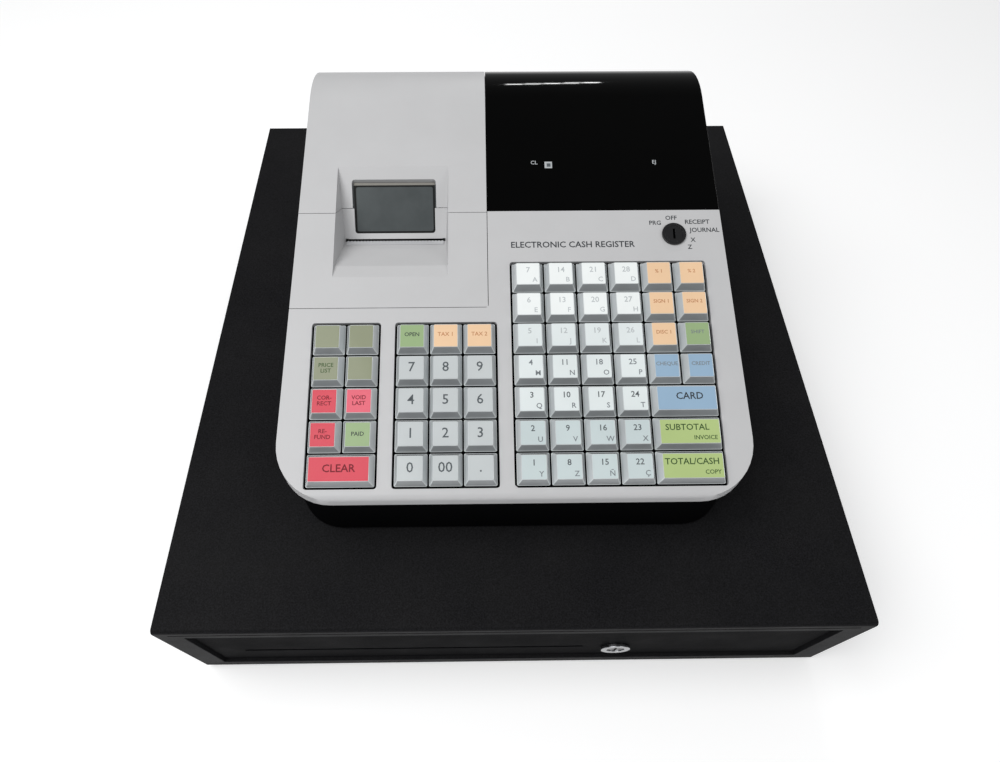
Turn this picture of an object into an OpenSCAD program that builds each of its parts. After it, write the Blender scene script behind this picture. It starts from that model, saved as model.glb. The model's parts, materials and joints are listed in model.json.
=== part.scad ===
// Electronic cash register on its steel cash drawer.
// The origin is the bottom centre of the drawer: X to the right, Y to the back, Z up, in millimetres.
// The register's sloping top is drawn in deck coordinates: x, s up the slope from the front row of
// keys, and n square to the slope. on_deck() and deck_pt() turn them into X, Y and Z.

/* [Drawer] */
// Width of the drawer's steel case
drawer_w = 410; // [360:1:500]
// Depth of the case
drawer_d = 446; // [400:1:540]
// Height of the case above its feet
drawer_h = 90; // [86:1:120]
// Thickness of the sheet steel
sheet_t = 1.2; // [0.8:0.1:2]
// Height of the rubber feet under the case
foot_h = 4; // [3:0.5:8]
// Width of the case's front posts
post_w = 15; // [12:0.5:20]
// Height of the bar over the drawer front
lip_h = 12; // [10:0.5:16]
// Height of the bar under the drawer front
sill_h = 9; // [7:0.5:12]
// Gap round the drawer front
front_gap = 1.1; // [0.8:0.1:2]
// Depth of the drawer front's folded edges
front_fold = 20; // [18:1:26]
// Setback of the drawer front behind the case's front, which the lock's ring fills
front_setback = 2.2; // [1:0.1:4]

/* [Till] */
// Number of note wells, side by side
note_wells = 4; // [3:1:5]
// Number of coin cups in each of two rows
coin_cups = 4; // [3:1:6]
// Thickness of the trays' walls
tray_wall = 2; // [1.6:0.1:3]
// Front-to-back length of the coin tray
coin_tray_d = 187.4; // [150:0.2:200]
// Height of the trays above the drawer's floor
tray_h = 47; // [42:1:50]
// Length of a note clip, from its pin to its tip
clip_len = 95; // [80:1:110]

/* [Register] */
// Distance from one key to the next
key_pitch = 19.05; // [16:0.05:23]
// Gap between two blocks of keys
block_gap = 9.6; // [8:0.1:14]
// Distance from the outer keys to the case's sides
side_margin = 17.6; // [15:0.1:24]
// Distance from the drawer's front to the register's front
register_setback = 57.5; // [40:0.5:70]
// Height of the front row of keys above the drawer
key_line_h = 52.7; // [50:0.1:70]
// Slope of the register's top
deck_slope = 15.6; // [12:0.1:18]
// Narrowing of each side, per millimetre of depth
case_taper = 0.028; // [0:0.002:0.04]
// Radius of the two front corners in plan
corner_r = 30; // [20:1:36]
// Radius of the rounded back edge
crest_r = 45; // [36:1:54]
// Thickness of the plastic shells
wall = 2.5; // [2:0.1:3.2]
// Gap where two shells meet
seam = 0.4; // [0.3:0.1:0.8]

/* [Keys] */
// Width of a key's base within its pitch
key_gap = 0.95; // [0.8:0.05:1.4]
// Height of the keys above the deck
key_h = 5; // [4:0.1:7]
// Width of the flat on top of a key
key_top = 13.2; // [11:0.1:15]
// How far a key goes down
key_travel = 3.2; // [2.5:0.1:3.4]

/* [Printer] */
// Width of the recess round the paper's way out
recess_w = 68; // [66:0.5:76]
// Depth of the recess below the deck
recess_d = 20; // [18:0.5:21]
// Radius of the paper roll
roll_r = 26.5; // [20:0.5:28]
// Width of the paper roll
roll_w = 57.5; // [50:0.5:58]
// Radius of the rubber roller that feeds the paper
platen_r = 6; // [5:0.1:6.4]

/* [Locks] */
// Radius of the mode lock's ring
mode_r = 7.2; // [6.8:0.1:9]
// Radius of the drawer lock's ring
lock_r = 9.25; // [8.8:0.05:11]
// Height of the drawer lock above the case's bottom
lock_h = 32; // [28:0.5:36]
// Place of the drawer lock right of the middle
lock_x = 66; // [40:1:100]

/* [Hidden] */
$fn = 48;

eps = 0.01;
far = 400;

// Drawer: the case, its opening, and the box that slides in it
case_x = drawer_w / 2;
case_front = -drawer_d / 2;
case_back = drawer_d / 2;
case_low = foot_h;
case_top = foot_h + drawer_h;
mouth_x = case_x - post_w;
mouth_low = case_low + sill_h;
mouth_top = case_top - lip_h;
post_fold = 14;
lip_line_h = 6;
lip_line_t = 1;
case_edge_r = 3;
front_x = mouth_x - front_gap;
front_low = mouth_low + front_gap;
front_top = mouth_top - front_gap;
front_y = case_front + front_setback;
box_x = front_x - 5;
box_front = front_y + front_fold;
box_back = case_back - 33;
box_low = front_low + 1.9;
box_t = 1;
box_h = 50;
box_floor = box_low + box_t;
slot_low = case_low + 32.6;
slot_t = 3.2;
slot_x0 = -case_x + 36;
slot_x1 = lock_x - 21;
lock_z = case_low + lock_h;
lock_body_r = lock_r - 1.15;
lock_plug_r = lock_r - 3.75;
run_gap = 0.05;
fit_gap = 0.1;

// Rails: a channel on each side of the case takes a runner at the back of the box
rail_t = 1.5;
rail_z = box_low + 26;
rail_open = 9;
rail_in = box_x + 6;
runner_len = 88;
pad_gap = 0.3;
pad_x = box_x - 64;

// Till trays
tray_gap = 0.4;
tray_x = box_x - box_t - tray_gap;
coin_y0 = box_front + box_t + tray_gap;
coin_y1 = coin_y0 + coin_tray_d;
note_y0 = coin_y1 + tray_gap;
note_y1 = box_back - box_t - tray_gap;
tray_top = box_floor + tray_h;
note_well_w = (2 * tray_x - (note_wells + 1) * tray_wall) / note_wells;
coin_cup_w = (2 * tray_x - (coin_cups + 1) * tray_wall) / coin_cups;
coin_cup_d = (coin_tray_d - 3 * tray_wall) / 2;
clip_y = note_y1 - 6.4;
clip_z = tray_top - 6;
clip_w = 14;
clip_t = 2.4;
clip_pin_r = 1.5;
clip_tip_z = box_floor + tray_wall + 4;
clip_drop = asin((clip_z - clip_tip_z) / clip_len);

// Latch: a hook on the case's floor, below a tab at the back of the box
latch_y = box_back + 22;
latch_z = case_low + sheet_t + 16.8;
latch_x = 7.5;
latch_plate_t = 3;
latch_pin_r = 2;
tab_z = box_low + 18;
tab_t = 1.5;
spring_x = -60;
spring_r = 8;
spring_wire = 1.6;
spring_turns = 6;

// Register: places that the keys, the deck and the crest share
base_gap = 3;
base_z = case_top + base_gap;
left_keys = 2;
middle_keys = 3;
right_keys = 6;
short_rows = 5;
long_rows = 7;
short_s = short_rows * key_pitch;
long_s = long_rows * key_pitch;
keys_w = (left_keys + middle_keys + right_keys) * key_pitch + 2 * block_gap;
reg_w = keys_w + 2 * side_margin;
left_x = -keys_w / 2;
middle_x = left_x + left_keys * key_pitch + block_gap;
right_x = middle_x + middle_keys * key_pitch + block_gap;
reg_front = case_front + register_setback;
key_y = reg_front + 6;
key_z = case_top + key_line_h;
crest_s = long_s + 117.3;
crest_c = deck_pt(crest_s, -crest_r);
reg_back = crest_c[0] + crest_r;
reg_depth = reg_back - reg_front;
front_edge_r = 4;
back_corner_r = 6;
split_z = key_z - 9.2;
split_slope = 2.2;
lower_inset = 3.2;
lip_up = 5;

// Where the shells part
module_x = right_x - 13.7;
cover_s = short_s + 10;
lid_s = cover_s + 62.3;
window_s = long_s + 35;
side_seam_z = key_z + 13.3;

// Recess: a valley across the deck with the window above the paper slot
recess_x = module_x / 2 - reg_w / 4 + 1.8;
recess_low_s = cover_s + 19.8;
crease_s = cover_s + 28.3;
crease_d = 2.5;
slot_s = cover_s + 55.1;
recess_top_s = cover_s + 94.8;
recess_draft = 7;
floor_tilt = atan(recess_d / (recess_top_s - slot_s));
floor_len = recess_d / sin(floor_tilt);
ramp_tilt = atan((recess_d - crease_d) / (slot_s - crease_s));
lid_cut_s = 10.5;
lid_cut_n = 11;
window_w = 50.4;
window_top = 8;
window_low = 39.7;
window_bevel = 3.4;
pane_t = 1.6;
pane_sunk = 2;
rim = 2;
rim_t = 5;
paper_slot_w = 60;
paper_slot_t = 2.8;

// Print mechanism, in X, Y, Z from the foot of the slot
slot_yz = deck_pt(slot_s, -recess_d);
platen_y = slot_yz[0] + 3.7;
platen_z = slot_yz[1] - 14.5;
shaft_r = 2;
gear_module = 0.7;
platen_teeth = 32;
pinion_teeth = 16;
gear_t = 3.5;
gear_centres = gear_module * (platen_teeth + pinion_teeth) / 2;
motor_side = 8;
motor_y = platen_y + motor_side;
motor_z = platen_z - sqrt(pow(gear_centres, 2) - pow(motor_side, 2));
motor_r = 9;
frame_t = 2;
frame_x0 = recess_x - 35;
frame_x1 = recess_x + 35;
frame_low = platen_z - 30;
frame_top = platen_z + 9.5;
frame_y0 = platen_y - 19;
frame_y1 = platen_y + 22;
roll_y = platen_y + 74;
roll_z = platen_z + 16;
spindle_r = 6;
cradle_gap = 2.5;

// Keyboard, in deck coordinates
plate_n = -key_travel - 2.3;
plate_t = 2;
board_n = plate_n - plate_t - 6.5;
board_t = 1.6;
stem = 8;
stem_gap = 0.3;
key_low = -1.5;
opening_gap = 0.8;
plate_edge = 2;

// Insides of the register
floor_z = base_z + wall;
main_board_y = reg_front + 155;
main_board_z = floor_z + 6;
main_board_w = 140;
main_board_d = 110;
pillar_low = floor_z + 12.5;
screw_r = 1.45;
pillar_r = 3.4;
front_pillar = [left_x - 6.2, reg_front + 55.5];
back_pillar = [reg_w / 2 - case_taper * reg_depth - 11.6, reg_back - 13];
hinge_y = reg_back + 2.8;
hinge_z = side_seam_z;
hinge_r = 2.5;
hinge_web = 0.8 * hinge_r;
hinge_pin_r = 1.2;
lid_hinge_x = [recess_x - 33, recess_x + 33];
knuckle_w = 10;
lock_s = long_s + 18.2;
mode_x = right_x + 5.15 * key_pitch;
mode_body_r = mode_r - 0.9;
mode_plug_r = mode_r - 2;
inlet_x = 75;
inlet_z = base_z + 21;
inlet_w = 26;
inlet_h = 20;

white = [0.80, 0.80, 0.81];
black = [0.07, 0.07, 0.08];
steel = [0.62, 0.63, 0.65];
board_green = [0.10, 0.36, 0.20];
clear_grey = [0.75, 0.80, 0.82];

function deck_pt(s, n) = [key_y + s * cos(deck_slope) - n * sin(deck_slope),
    key_z + s * sin(deck_slope) + n * cos(deck_slope)];
function deck_z(y, n) = key_z + (y - key_y) * tan(deck_slope) + n / cos(deck_slope);
function split_at(y) = split_z + (y - reg_front) * tan(split_slope);
function arc(c, r, a0, a1, steps) =
    [for (i = [0:steps]) let (a = a0 + (a1 - a0) * i / steps) c + r * [cos(a), sin(a)]];
function seam_n(s, lift) = (side_seam_z + lift - deck_pt(s, 0)[1]) / cos(deck_slope);
function flipped(points) = [for (i = [len(points) - 1:-1:0]) [-points[i][0], points[i][1]]];
function well_x(i) = -tray_x + tray_wall + note_well_w / 2 + i * (note_well_w + tray_wall);

// Carries a Y-Z outline along X, from x0 to x1
module along_x(x0, x1) {
    translate([x0, 0, 0]) rotate([90, 0, 90]) linear_extrude(x1 - x0) children();
}

module rod_x(r, x0, x1, y, z) {
    translate([x0, y, z]) rotate([0, 90, 0]) cylinder(r = r, h = x1 - x0);
}

module rod_y(r, y0, y1, x, z) {
    translate([x, y0, z]) rotate([-90, 0, 0]) cylinder(r = r, h = y1 - y0);
}

module block(low, high) {
    translate(low) cube(high - low);
}

module on_deck() {
    translate([0, key_y, key_z]) rotate([deck_slope, 0, 0]) children();
}

// Carries an s-n outline along X on the deck
module along_deck(x0, x1) {
    on_deck() along_x(x0, x1) children();
}

// ---- Drawer ----

module drawer_case() {
    color(black) difference() {
        along_x(-case_x, case_x) polygon(concat(
            [[case_front, case_low], [case_back, case_low], [case_back, case_top]],
            arc([case_front + case_edge_r, case_top - case_edge_r], case_edge_r, 90, 180, 6)));
        block([-case_x + sheet_t, case_front + post_fold, case_low + sheet_t],
            [case_x - sheet_t, case_back - sheet_t, case_top - sheet_t]);
        block([-case_x + sheet_t, case_front + sheet_t, case_low + sheet_t],
            [-mouth_x - sheet_t, case_back - sheet_t, case_top - sheet_t]);
        block([mouth_x + sheet_t, case_front + sheet_t, case_low + sheet_t],
            [case_x - sheet_t, case_back - sheet_t, case_top - sheet_t]);
        block([-mouth_x - sheet_t, case_front + sheet_t, case_low + sheet_t],
            [mouth_x + sheet_t, case_front + post_fold + eps, mouth_low - sheet_t]);
        block([-mouth_x - sheet_t, case_front + case_edge_r + sheet_t, mouth_top + sheet_t],
            [mouth_x + sheet_t, case_front + post_fold + eps, case_top - sheet_t]);
        block([-mouth_x, case_front - 1, mouth_low], [mouth_x, case_front + post_fold + 1, mouth_top]);
        block([-case_x + post_w / 2, case_front - 1, case_top - lip_line_h - lip_line_t],
            [case_x - post_w / 2, case_front + sheet_t / 2, case_top - lip_line_h]);
    }
}

module rubber_feet() {
    color([0.12, 0.12, 0.12]) {
        for (x = [-1, 1], y = [-1, 1])
            translate([x * (case_x - 30), y * (drawer_d / 2 - 35), 0]) cylinder(r = 9, h = foot_h);
        for (x = [-1, 1], y = [reg_front + 26, reg_back - 21])
            translate([x * (reg_w / 2 - 32), y, case_top]) cylinder(r = 8, h = base_gap);
    }
}

module drawer_rails() {
    color(steel) {
        for (side = [0, 1]) mirror([side, 0, 0]) difference() {
            block([rail_in, case_front + 22, rail_z - rail_t],
                [case_x - sheet_t, case_back - 20, rail_z + rail_open + rail_t]);
            block([rail_in - 1, case_front + 21, rail_z],
                [case_x - sheet_t - rail_t, case_back - 19, rail_z + rail_open]);
        }
        for (x = [-1, 1]) translate([x * pad_x, front_y + front_fold + 2, case_low + sheet_t])
            block([-12, 0, 0], [12, 14, box_low - pad_gap - case_low - sheet_t]);
    }
}

module drawer_box() {
    color(steel) difference() {
        union() {
            block([-box_x, box_front, box_low], [box_x, box_back, box_low + box_h]);
            for (side = [0, 1]) mirror([side, 0, 0])
                block([box_x - eps, box_back - runner_len, rail_z + 1],
                    [case_x - sheet_t - rail_t - 1.5, box_back - 2, rail_z + rail_open - 1]);
            block([latch_x - 10, box_back - eps, tab_z], [latch_x + 10, box_back + 14, tab_z + tab_t]);
        }
        block([-box_x + box_t, box_front + box_t, box_floor],
            [box_x - box_t, box_back - box_t, box_low + box_h + 1]);
        block([latch_x - 4, box_back + 4, tab_z - 1], [latch_x + 4, box_back + 11, tab_z + tab_t + 1]);
    }
}

module drawer_front() {
    color([0.11, 0.11, 0.12]) difference() {
        block([-front_x, front_y, front_low], [front_x, front_y + front_fold, front_top]);
        block([-front_x + sheet_t, front_y + sheet_t, front_low + sheet_t],
            [front_x - sheet_t, front_y + front_fold + 1, front_top - sheet_t]);
        block([slot_x0, front_y - 1, slot_low], [slot_x1, front_y + sheet_t + 1, slot_low + slot_t]);
        rod_y(lock_body_r + fit_gap, front_y - 1, front_y + sheet_t + 1, lock_x, lock_z);
    }
}

module drawer_lock_barrel() {
    color([0.78, 0.79, 0.80]) difference() {
        union() {
            rod_y(lock_r, case_front, front_y - eps, lock_x, lock_z);
            rod_y(lock_body_r, front_y - 2 * eps, front_y + front_fold - 7, lock_x, lock_z);
        }
        rod_y(lock_plug_r + run_gap, case_front - 1, front_y + front_fold, lock_x, lock_z);
    }
}

module drawer_lock_rotor() {
    color([0.16, 0.16, 0.17]) difference() {
        union() {
            rod_y(lock_plug_r, case_front + 0.6, front_y + front_fold - 6.6, lock_x, lock_z);
            block([lock_x - 5, front_y + front_fold - 6.7, lock_z - 5],
                [lock_x + 5, front_y + front_fold - 4.7, lock_z + 14]);
        }
        block([lock_x - 0.7, case_front, lock_z - 3.6], [lock_x + 0.7, case_front + 6, lock_z + 3.6]);
    }
}

module note_tray() {
    color([0.13, 0.13, 0.14]) difference() {
        union() {
            difference() {
                block([-tray_x, note_y0, box_floor], [tray_x, note_y1, tray_top]);
                for (i = [0:note_wells - 1]) translate([well_x(i), 0, 0])
                    block([-note_well_w / 2, note_y0 + tray_wall, box_floor + tray_wall],
                        [note_well_w / 2, note_y1 - tray_wall, tray_top + 1]);
            }
            for (i = [0:note_wells - 1], side = [-1, 1])
                translate([well_x(i) + side * (clip_w / 2 + 2), 0, 0])
                    block([-1.6, clip_y - 3.4, clip_z - 4], [1.6, note_y1 - 0.5, clip_z + 4]);
        }
        for (i = [0:note_wells - 1]) rod_x(clip_pin_r + fit_gap, well_x(i) - clip_w / 2 - 4,
            well_x(i) + clip_w / 2 + 4, clip_y, clip_z);
    }
}

module coin_tray() {
    color([0.13, 0.13, 0.14]) difference() {
        block([-tray_x, coin_y0, box_floor], [tray_x, coin_y1, tray_top]);
        for (i = [0:coin_cups - 1], row = [0, 1])
            rod_x(min(coin_cup_d / 2, tray_h - tray_wall),
                -tray_x + tray_wall + i * (coin_cup_w + tray_wall),
                -tray_x + (i + 1) * (coin_cup_w + tray_wall),
                coin_y0 + tray_wall + coin_cup_d / 2 + row * (coin_cup_d + tray_wall),
                box_floor + tray_wall + min(coin_cup_d / 2, tray_h - tray_wall));
    }
}

module note_clip(i) {
    tip = [clip_y - clip_len * cos(clip_drop), clip_tip_z];
    color([0.70, 0.71, 0.73]) translate([well_x(i), 0, 0]) {
        along_x(-clip_w / 2, clip_w / 2) {
            polygon([[clip_y, clip_z + clip_t / 2], [tip[0], tip[1] + clip_t / 2],
                [tip[0], tip[1] - clip_t / 2], [clip_y, clip_z - clip_t / 2]]);
            translate([clip_y, clip_z]) circle(r = 3);
        }
        block([-24, tip[0] - 2.2, tip[1] - 2.2], [24, tip[0] + 2.2, tip[1] + 2.2]);
        rod_x(clip_pin_r, -clip_w / 2 - 3.4, clip_w / 2 + 3.4, clip_y, clip_z);
    }
}

module latch_solenoid() {
    low = case_low + sheet_t;
    color(steel) difference() {
        union() {
            block([-30, box_back + 4, low], [latch_x + 16, case_back - 4, low + 1.5]);
            block([-28, box_back + 7, low + 1.4], [-4, case_back - 6, low + 24]);
            for (side = [-1, 1]) translate([latch_x + side * 3.2, 0, 0])
                block([-1.2, latch_y - 5, low + 1.4], [1.2, latch_y + 5, latch_z + 5]);
        }
        rod_x(latch_pin_r + fit_gap, latch_x - 6, latch_x + 6, latch_y, latch_z);
    }
}

module latch_hook() {
    color([0.75, 0.70, 0.45]) {
        along_x(latch_x - latch_plate_t / 2, latch_x + latch_plate_t / 2) union() {
            polygon([[latch_y, latch_z - 3.5], [latch_y, latch_z + 3.5],
                [box_back + 9, latch_z + 6], [box_back + 9, tab_z - 0.5],
                [box_back + 6, tab_z - 0.5], [box_back + 6, latch_z - 1]]);
            translate([latch_y, latch_z]) circle(r = 3.8);
        }
        rod_x(latch_pin_r, latch_x - 4.4, latch_x + 4.4, latch_y, latch_z);
    }
}

// A helix of square wire between two round pads
module ejector_spring() {
    y0 = box_back + 0.3;
    y1 = case_back - sheet_t;
    z = box_low + 20;
    steps = 12;
    rings = spring_turns * steps;
    at = [for (i = [0:rings]) [spring_x + spring_r * cos(360 * i / steps),
        y0 + 2 + (y1 - y0 - 4) * i / rings, z + spring_r * sin(360 * i / steps)]];
    side = spring_wire / 2;
    corners = [for (i = [0:rings]) let (a = 360 * i / steps) for (c = [[-1, -1], [1, -1], [1, 1], [-1, 1]])
        at[i] + [c[0] * side * cos(a), c[1] * side, c[0] * side * sin(a)]];
    color(steel) {
        polyhedron(corners, concat([[0, 1, 2, 3]],
            [for (i = [0:rings - 1], k = [0:3]) let (a = 4 * i + k, b = 4 * i + (k + 1) % 4)
                [a, a + 4, b + 4, b]],
            [[for (k = [3:-1:0]) 4 * rings + k]]));
        rod_y(spring_r + spring_wire, y0, y0 + 1.4, spring_x, z);
        rod_y(spring_r + spring_wire, y1 - 1.4, y1, spring_x, z);
    }
}

// ---- Register: shells ----

// Outline of the register in plan, drawn in by inset
module plan_outline(inset) {
    q = sqrt(1 + pow(case_taper, 2));
    tilt = atan(case_taper);
    rf = corner_r - inset;
    yf = reg_front + inset + rf;
    xf = reg_w / 2 - case_taper * (yf - reg_front) - (inset + rf) * q;
    rb = back_corner_r - inset;
    yb = reg_back - inset - rb;
    xb = reg_w / 2 - case_taper * (yb - reg_front) - (inset + rb) * q;
    right = concat(arc([xf, yf], rf, -90, tilt, 10), arc([xb, yb], rb, tilt, 90, 4));
    polygon(concat(right, flipped(right)));
}

// Side view of the register, drawn in by inset, down to low
module side_outline(inset, low) {
    r = front_edge_r - min(inset, front_edge_r - 1);
    yf = reg_front + inset;
    polygon(concat([[yf, low]],
        arc([yf + r, deck_z(yf + r, -inset - r)], r, 180, 90 + deck_slope, 5),
        arc(crest_c, crest_r - inset, 90 + deck_slope, 0, 16),
        [[reg_back - inset, low]]));
}

module register_solid(inset, low) {
    intersection() {
        translate([0, 0, low]) linear_extrude(far) plan_outline(inset);
        along_x(-far, far) side_outline(inset, low);
    }
}

// Everything above the line where the two halves of the case part
module above_split() {
    along_x(-far, far) polygon([[reg_front - far, split_at(reg_front - far)],
        [reg_back + far, split_at(reg_back + far)], [reg_back + far, far], [reg_front - far, far]]);
}

module shell() {
    difference() {
        intersection() {
            register_solid(0, base_z);
            above_split();
        }
        register_solid(wall, base_z - 1);
    }
}

// Side view of a shell that starts at s and runs over the crest to the back
module over_crest(s, lift) {
    polygon([deck_pt(s, 30), deck_pt(s, seam_n(s, lift)), [reg_back + far, side_seam_z + lift],
        [reg_back + far, side_seam_z + far]]);
}

// The left half of the register's top: the printer cover and the paper lid
module left_module(grow) {
    along_x(-far, module_x + grow) over_crest(cover_s - grow, -grow);
}

// The paper lid's part of it, which leaves out the window's frame
module lid_part(grow) {
    difference() {
        along_x(-far, module_x + grow) over_crest(lid_s - grow, -grow);
        along_deck(recess_x - recess_w / 2 - wall, recess_x + recess_w / 2 + wall)
            polygon([[lid_s - grow, 0], [lid_s - grow + 3 * lid_cut_s, -3 * lid_cut_n],
                [lid_s - 40, -3 * lid_cut_n], [lid_s - 40, 0]]);
        on_deck() block([recess_x - window_w / 2 - rim + grow - 0.3, 0, -60],
            [recess_x + window_w / 2 + rim - grow + 0.3,
                recess_top_s - (window_top - rim) * cos(floor_tilt) - grow, 30]);
    }
}

module recess_shape(side, drop, s0, s1) {
    intersection() {
        along_deck(recess_x - far, recess_x + far)
            polygon([[s0, drop < 0 ? -0.5 : 0], [crease_s + drop, -crease_d + drop],
                [slot_s, -recess_d + drop * 1.1], [s1, drop < 0 ? -0.5 : 0],
                [s1, drop < 0 ? -0.45 : 12], [s0, drop < 0 ? -0.45 : 12]]);
        on_deck() translate([recess_x, far, 0]) rotate([90, 0, 0]) linear_extrude(2 * far)
            polygon([[-side + 30 * tan(recess_draft), -30], [side - 30 * tan(recess_draft), -30],
                [side, 0], [side, 20], [-side, 20], [-side, 0]]);
    }
}

// The floor above the slot: x across, y up the floor from its top edge, z square to it
module on_floor() {
    on_deck() translate([recess_x, recess_top_s, 0]) rotate([floor_tilt, 0, 0]) children();
}

module left_shell() {
    difference() {
        union() {
            shell();
            recess_shape(recess_w / 2 + wall, -wall - 0.3, recess_low_s - 3, recess_top_s + 6);
            on_floor() block([-window_w / 2 - rim, -window_low - rim + 0.2, -rim_t],
                [window_w / 2 + rim, -window_top + rim, -0.5]);
        }
        recess_shape(recess_w / 2, 0, recess_low_s, recess_top_s);
        on_floor() along_x(-window_w / 2, window_w / 2) polygon([[-window_low, 5],
            [-window_low, -pane_sunk - 0.5], [-window_top - window_bevel, -pane_sunk - 0.5],
            [-window_top + window_bevel, pane_sunk + 0.5], [-window_top + window_bevel, 5]]);
        on_floor() block([-window_w / 2 - 0.8, -window_low - 0.6, -rim_t - 5],
            [window_w / 2 + 0.8, -window_top - window_bevel + 0.8, -pane_sunk]);
        on_floor() block([-paper_slot_w / 2, -floor_len - 0.4, -12],
            [paper_slot_w / 2, -floor_len - 0.4 + paper_slot_t, 5]);
    }
}

module printer_cover() {
    color(white) difference() {
        intersection() {
            left_shell();
            left_module(-seam / 2);
        }
        lid_part(seam / 2);
    }
}

module lid_knuckle(up, w) {
    difference() {
        union() {
            rod_x(hinge_r, -w / 2, w / 2, hinge_y, hinge_z);
            block([-w / 2, reg_back - 1, hinge_z - (up ? -seam : hinge_web)],
                [w / 2, hinge_y, hinge_z + (up ? hinge_web : -seam)]);
        }
        if (up) rod_x(hinge_pin_r + fit_gap, -w, w, hinge_y, hinge_z);
    }
}

module paper_lid() {
    color(white) {
        intersection() {
            left_shell();
            lid_part(-seam / 2);
        }
        for (x = lid_hinge_x) translate([x, 0, 0]) lid_knuckle(true, knuckle_w);
    }
}

module upper_case() {
    color(white) {
        difference() {
            shell();
            left_module(seam / 2);
            along_x(module_x - eps, far) over_crest(window_s - seam / 2, -seam / 2);
            key_openings(opening_gap, -wall - 1, 1);
            on_deck() translate([mode_x, lock_s, -wall - 5]) cylinder(r = mode_body_r + fit_gap, h = 20);
        }
        difference() {
            intersection() {
                for (x = [-1, 1]) translate([x * front_pillar[0], front_pillar[1], pillar_low])
                    cylinder(r = pillar_r, h = far);
                register_solid(wall - 0.5, base_z);
            }
            for (x = [-1, 1]) translate([x * front_pillar[0], front_pillar[1], pillar_low - 1])
                cylinder(r = screw_r + 0.05, h = 16);
        }
        for (x = [-1, 1]) translate([x * back_pillar[0], back_pillar[1], 0]) difference() {
            union() {
                translate([0, 0, pillar_low]) cylinder(r = 4, h = side_seam_z - seam - pillar_low);
                block([-3, 0, side_seam_z - 4], [3, reg_back - wall / 2 - back_pillar[1], side_seam_z - seam]);
            }
            translate([0, 0, pillar_low - 1]) cylinder(r = screw_r + 0.05, h = 16);
        }
        for (x = lid_hinge_x, side = [-1, 1]) translate([x + side * (knuckle_w + 0.6), 0, 0])
            lid_knuckle(false, knuckle_w);
        for (x = lid_hinge_x) rod_x(hinge_pin_r, x - knuckle_w, x + knuckle_w, hinge_y, hinge_z);
    }
}

module display_window() {
    color([0.02, 0.02, 0.03]) intersection() {
        shell();
        along_x(module_x + seam / 2, far) over_crest(window_s + seam / 2, seam / 2);
    }
}

module lower_case() {
    posts = [for (x = [frame_x0 + 8, frame_x1 - 8], y = [frame_y0 + 8, frame_y1 - 8]) [x, y]];
    boards = [for (x = [-1, 1], y = [-1, 1])
        [45 + x * (main_board_w / 2 - 8), main_board_y + y * (main_board_d / 2 - 8)]];
    color(black) difference() {
        union() {
            difference() {
                intersection() {
                    translate([0, 0, base_z]) linear_extrude(far) plan_outline(lower_inset);
                    along_x(-far, far) polygon([[reg_front - far, base_z], [reg_back + far, base_z],
                        [reg_back + far, split_at(reg_back + far) + lip_up],
                        [reg_front - far, split_at(reg_front - far) + lip_up]]);
                }
                translate([0, 0, floor_z]) linear_extrude(far) plan_outline(lower_inset + wall);
            }
            for (p = posts) translate([p[0], p[1], floor_z - eps]) cylinder(r = 4, h = frame_low - floor_z + eps);
            for (p = boards) translate([p[0], p[1], floor_z - eps])
                cylinder(r = 3.5, h = main_board_z - floor_z + eps);
            for (x = [-1, 1], p = [front_pillar, back_pillar])
                translate([x * p[0], p[1], floor_z - eps]) cylinder(r = 4.8, h = pillar_low - floor_z - 0.3);
        }
        for (x = [-1, 1], p = [front_pillar, back_pillar]) translate([x * p[0], p[1], base_z - 1]) {
            cylinder(r = 1.9, h = 30);
            cylinder(r = 3.8, h = 5.5);
        }
        on_deck() block([-far, -far, plate_n - plate_t - 0.2], [far, long_s + plate_edge + 1, far]);
        block([inlet_x - inlet_w / 2 - 0.2, reg_back - 20, inlet_z - inlet_h / 2 - 0.2],
            [inlet_x + inlet_w / 2 + 0.2, reg_back, inlet_z + inlet_h / 2 + 0.2]);
    }
}

module case_screws() {
    color(steel) for (x = [-1, 1], p = [front_pillar, back_pillar])
        translate([x * p[0], p[1], base_z]) {
            translate([0, 0, 1.6]) cylinder(r = 3.4, h = 2.9);
            translate([0, 0, 4.4]) cylinder(r = screw_r, h = 20);
        }
}

// ---- Register: keyboard ----

// The three blocks of keys as boxes, grown by gap at their sides
module key_openings(gap, n0, n1) {
    on_deck() {
        block([left_x - gap, -gap, n0], [left_x + left_keys * key_pitch + gap, short_s + gap, n1]);
        block([middle_x - gap, -gap, n0], [middle_x + middle_keys * key_pitch + gap, short_s + gap, n1]);
        block([right_x - gap, -gap, n0], [right_x + right_keys * key_pitch + gap, long_s + gap, n1]);
    }
}

function stem_w(cols) = cols > 1 ? 2 * stem : stem;
function cells() = concat(
    [[left_x, 0, 2]],
    [for (c = [0:left_keys - 1], r = [1:short_rows - 1]) [left_x + c * key_pitch, r * key_pitch, 1]],
    [for (c = [0:middle_keys - 1], r = [0:short_rows - 1]) [middle_x + c * key_pitch, r * key_pitch, 1]],
    [for (c = [0:3], r = [0:long_rows - 1]) [right_x + c * key_pitch, r * key_pitch, 1]],
    [for (r = [0:2]) [right_x + 4 * key_pitch, r * key_pitch, 2]],
    [for (c = [4:5], r = [3:long_rows - 1]) [right_x + c * key_pitch, r * key_pitch, 1]]);

module key_plate() {
    color(black) {
        intersection() {
            translate([0, 0, base_z]) linear_extrude(far) plan_outline(wall + 0.3);
            union() {
                key_plate_sheet();
                key_plate_rims();
            }
        }
        key_plate_posts();
    }
}

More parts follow.
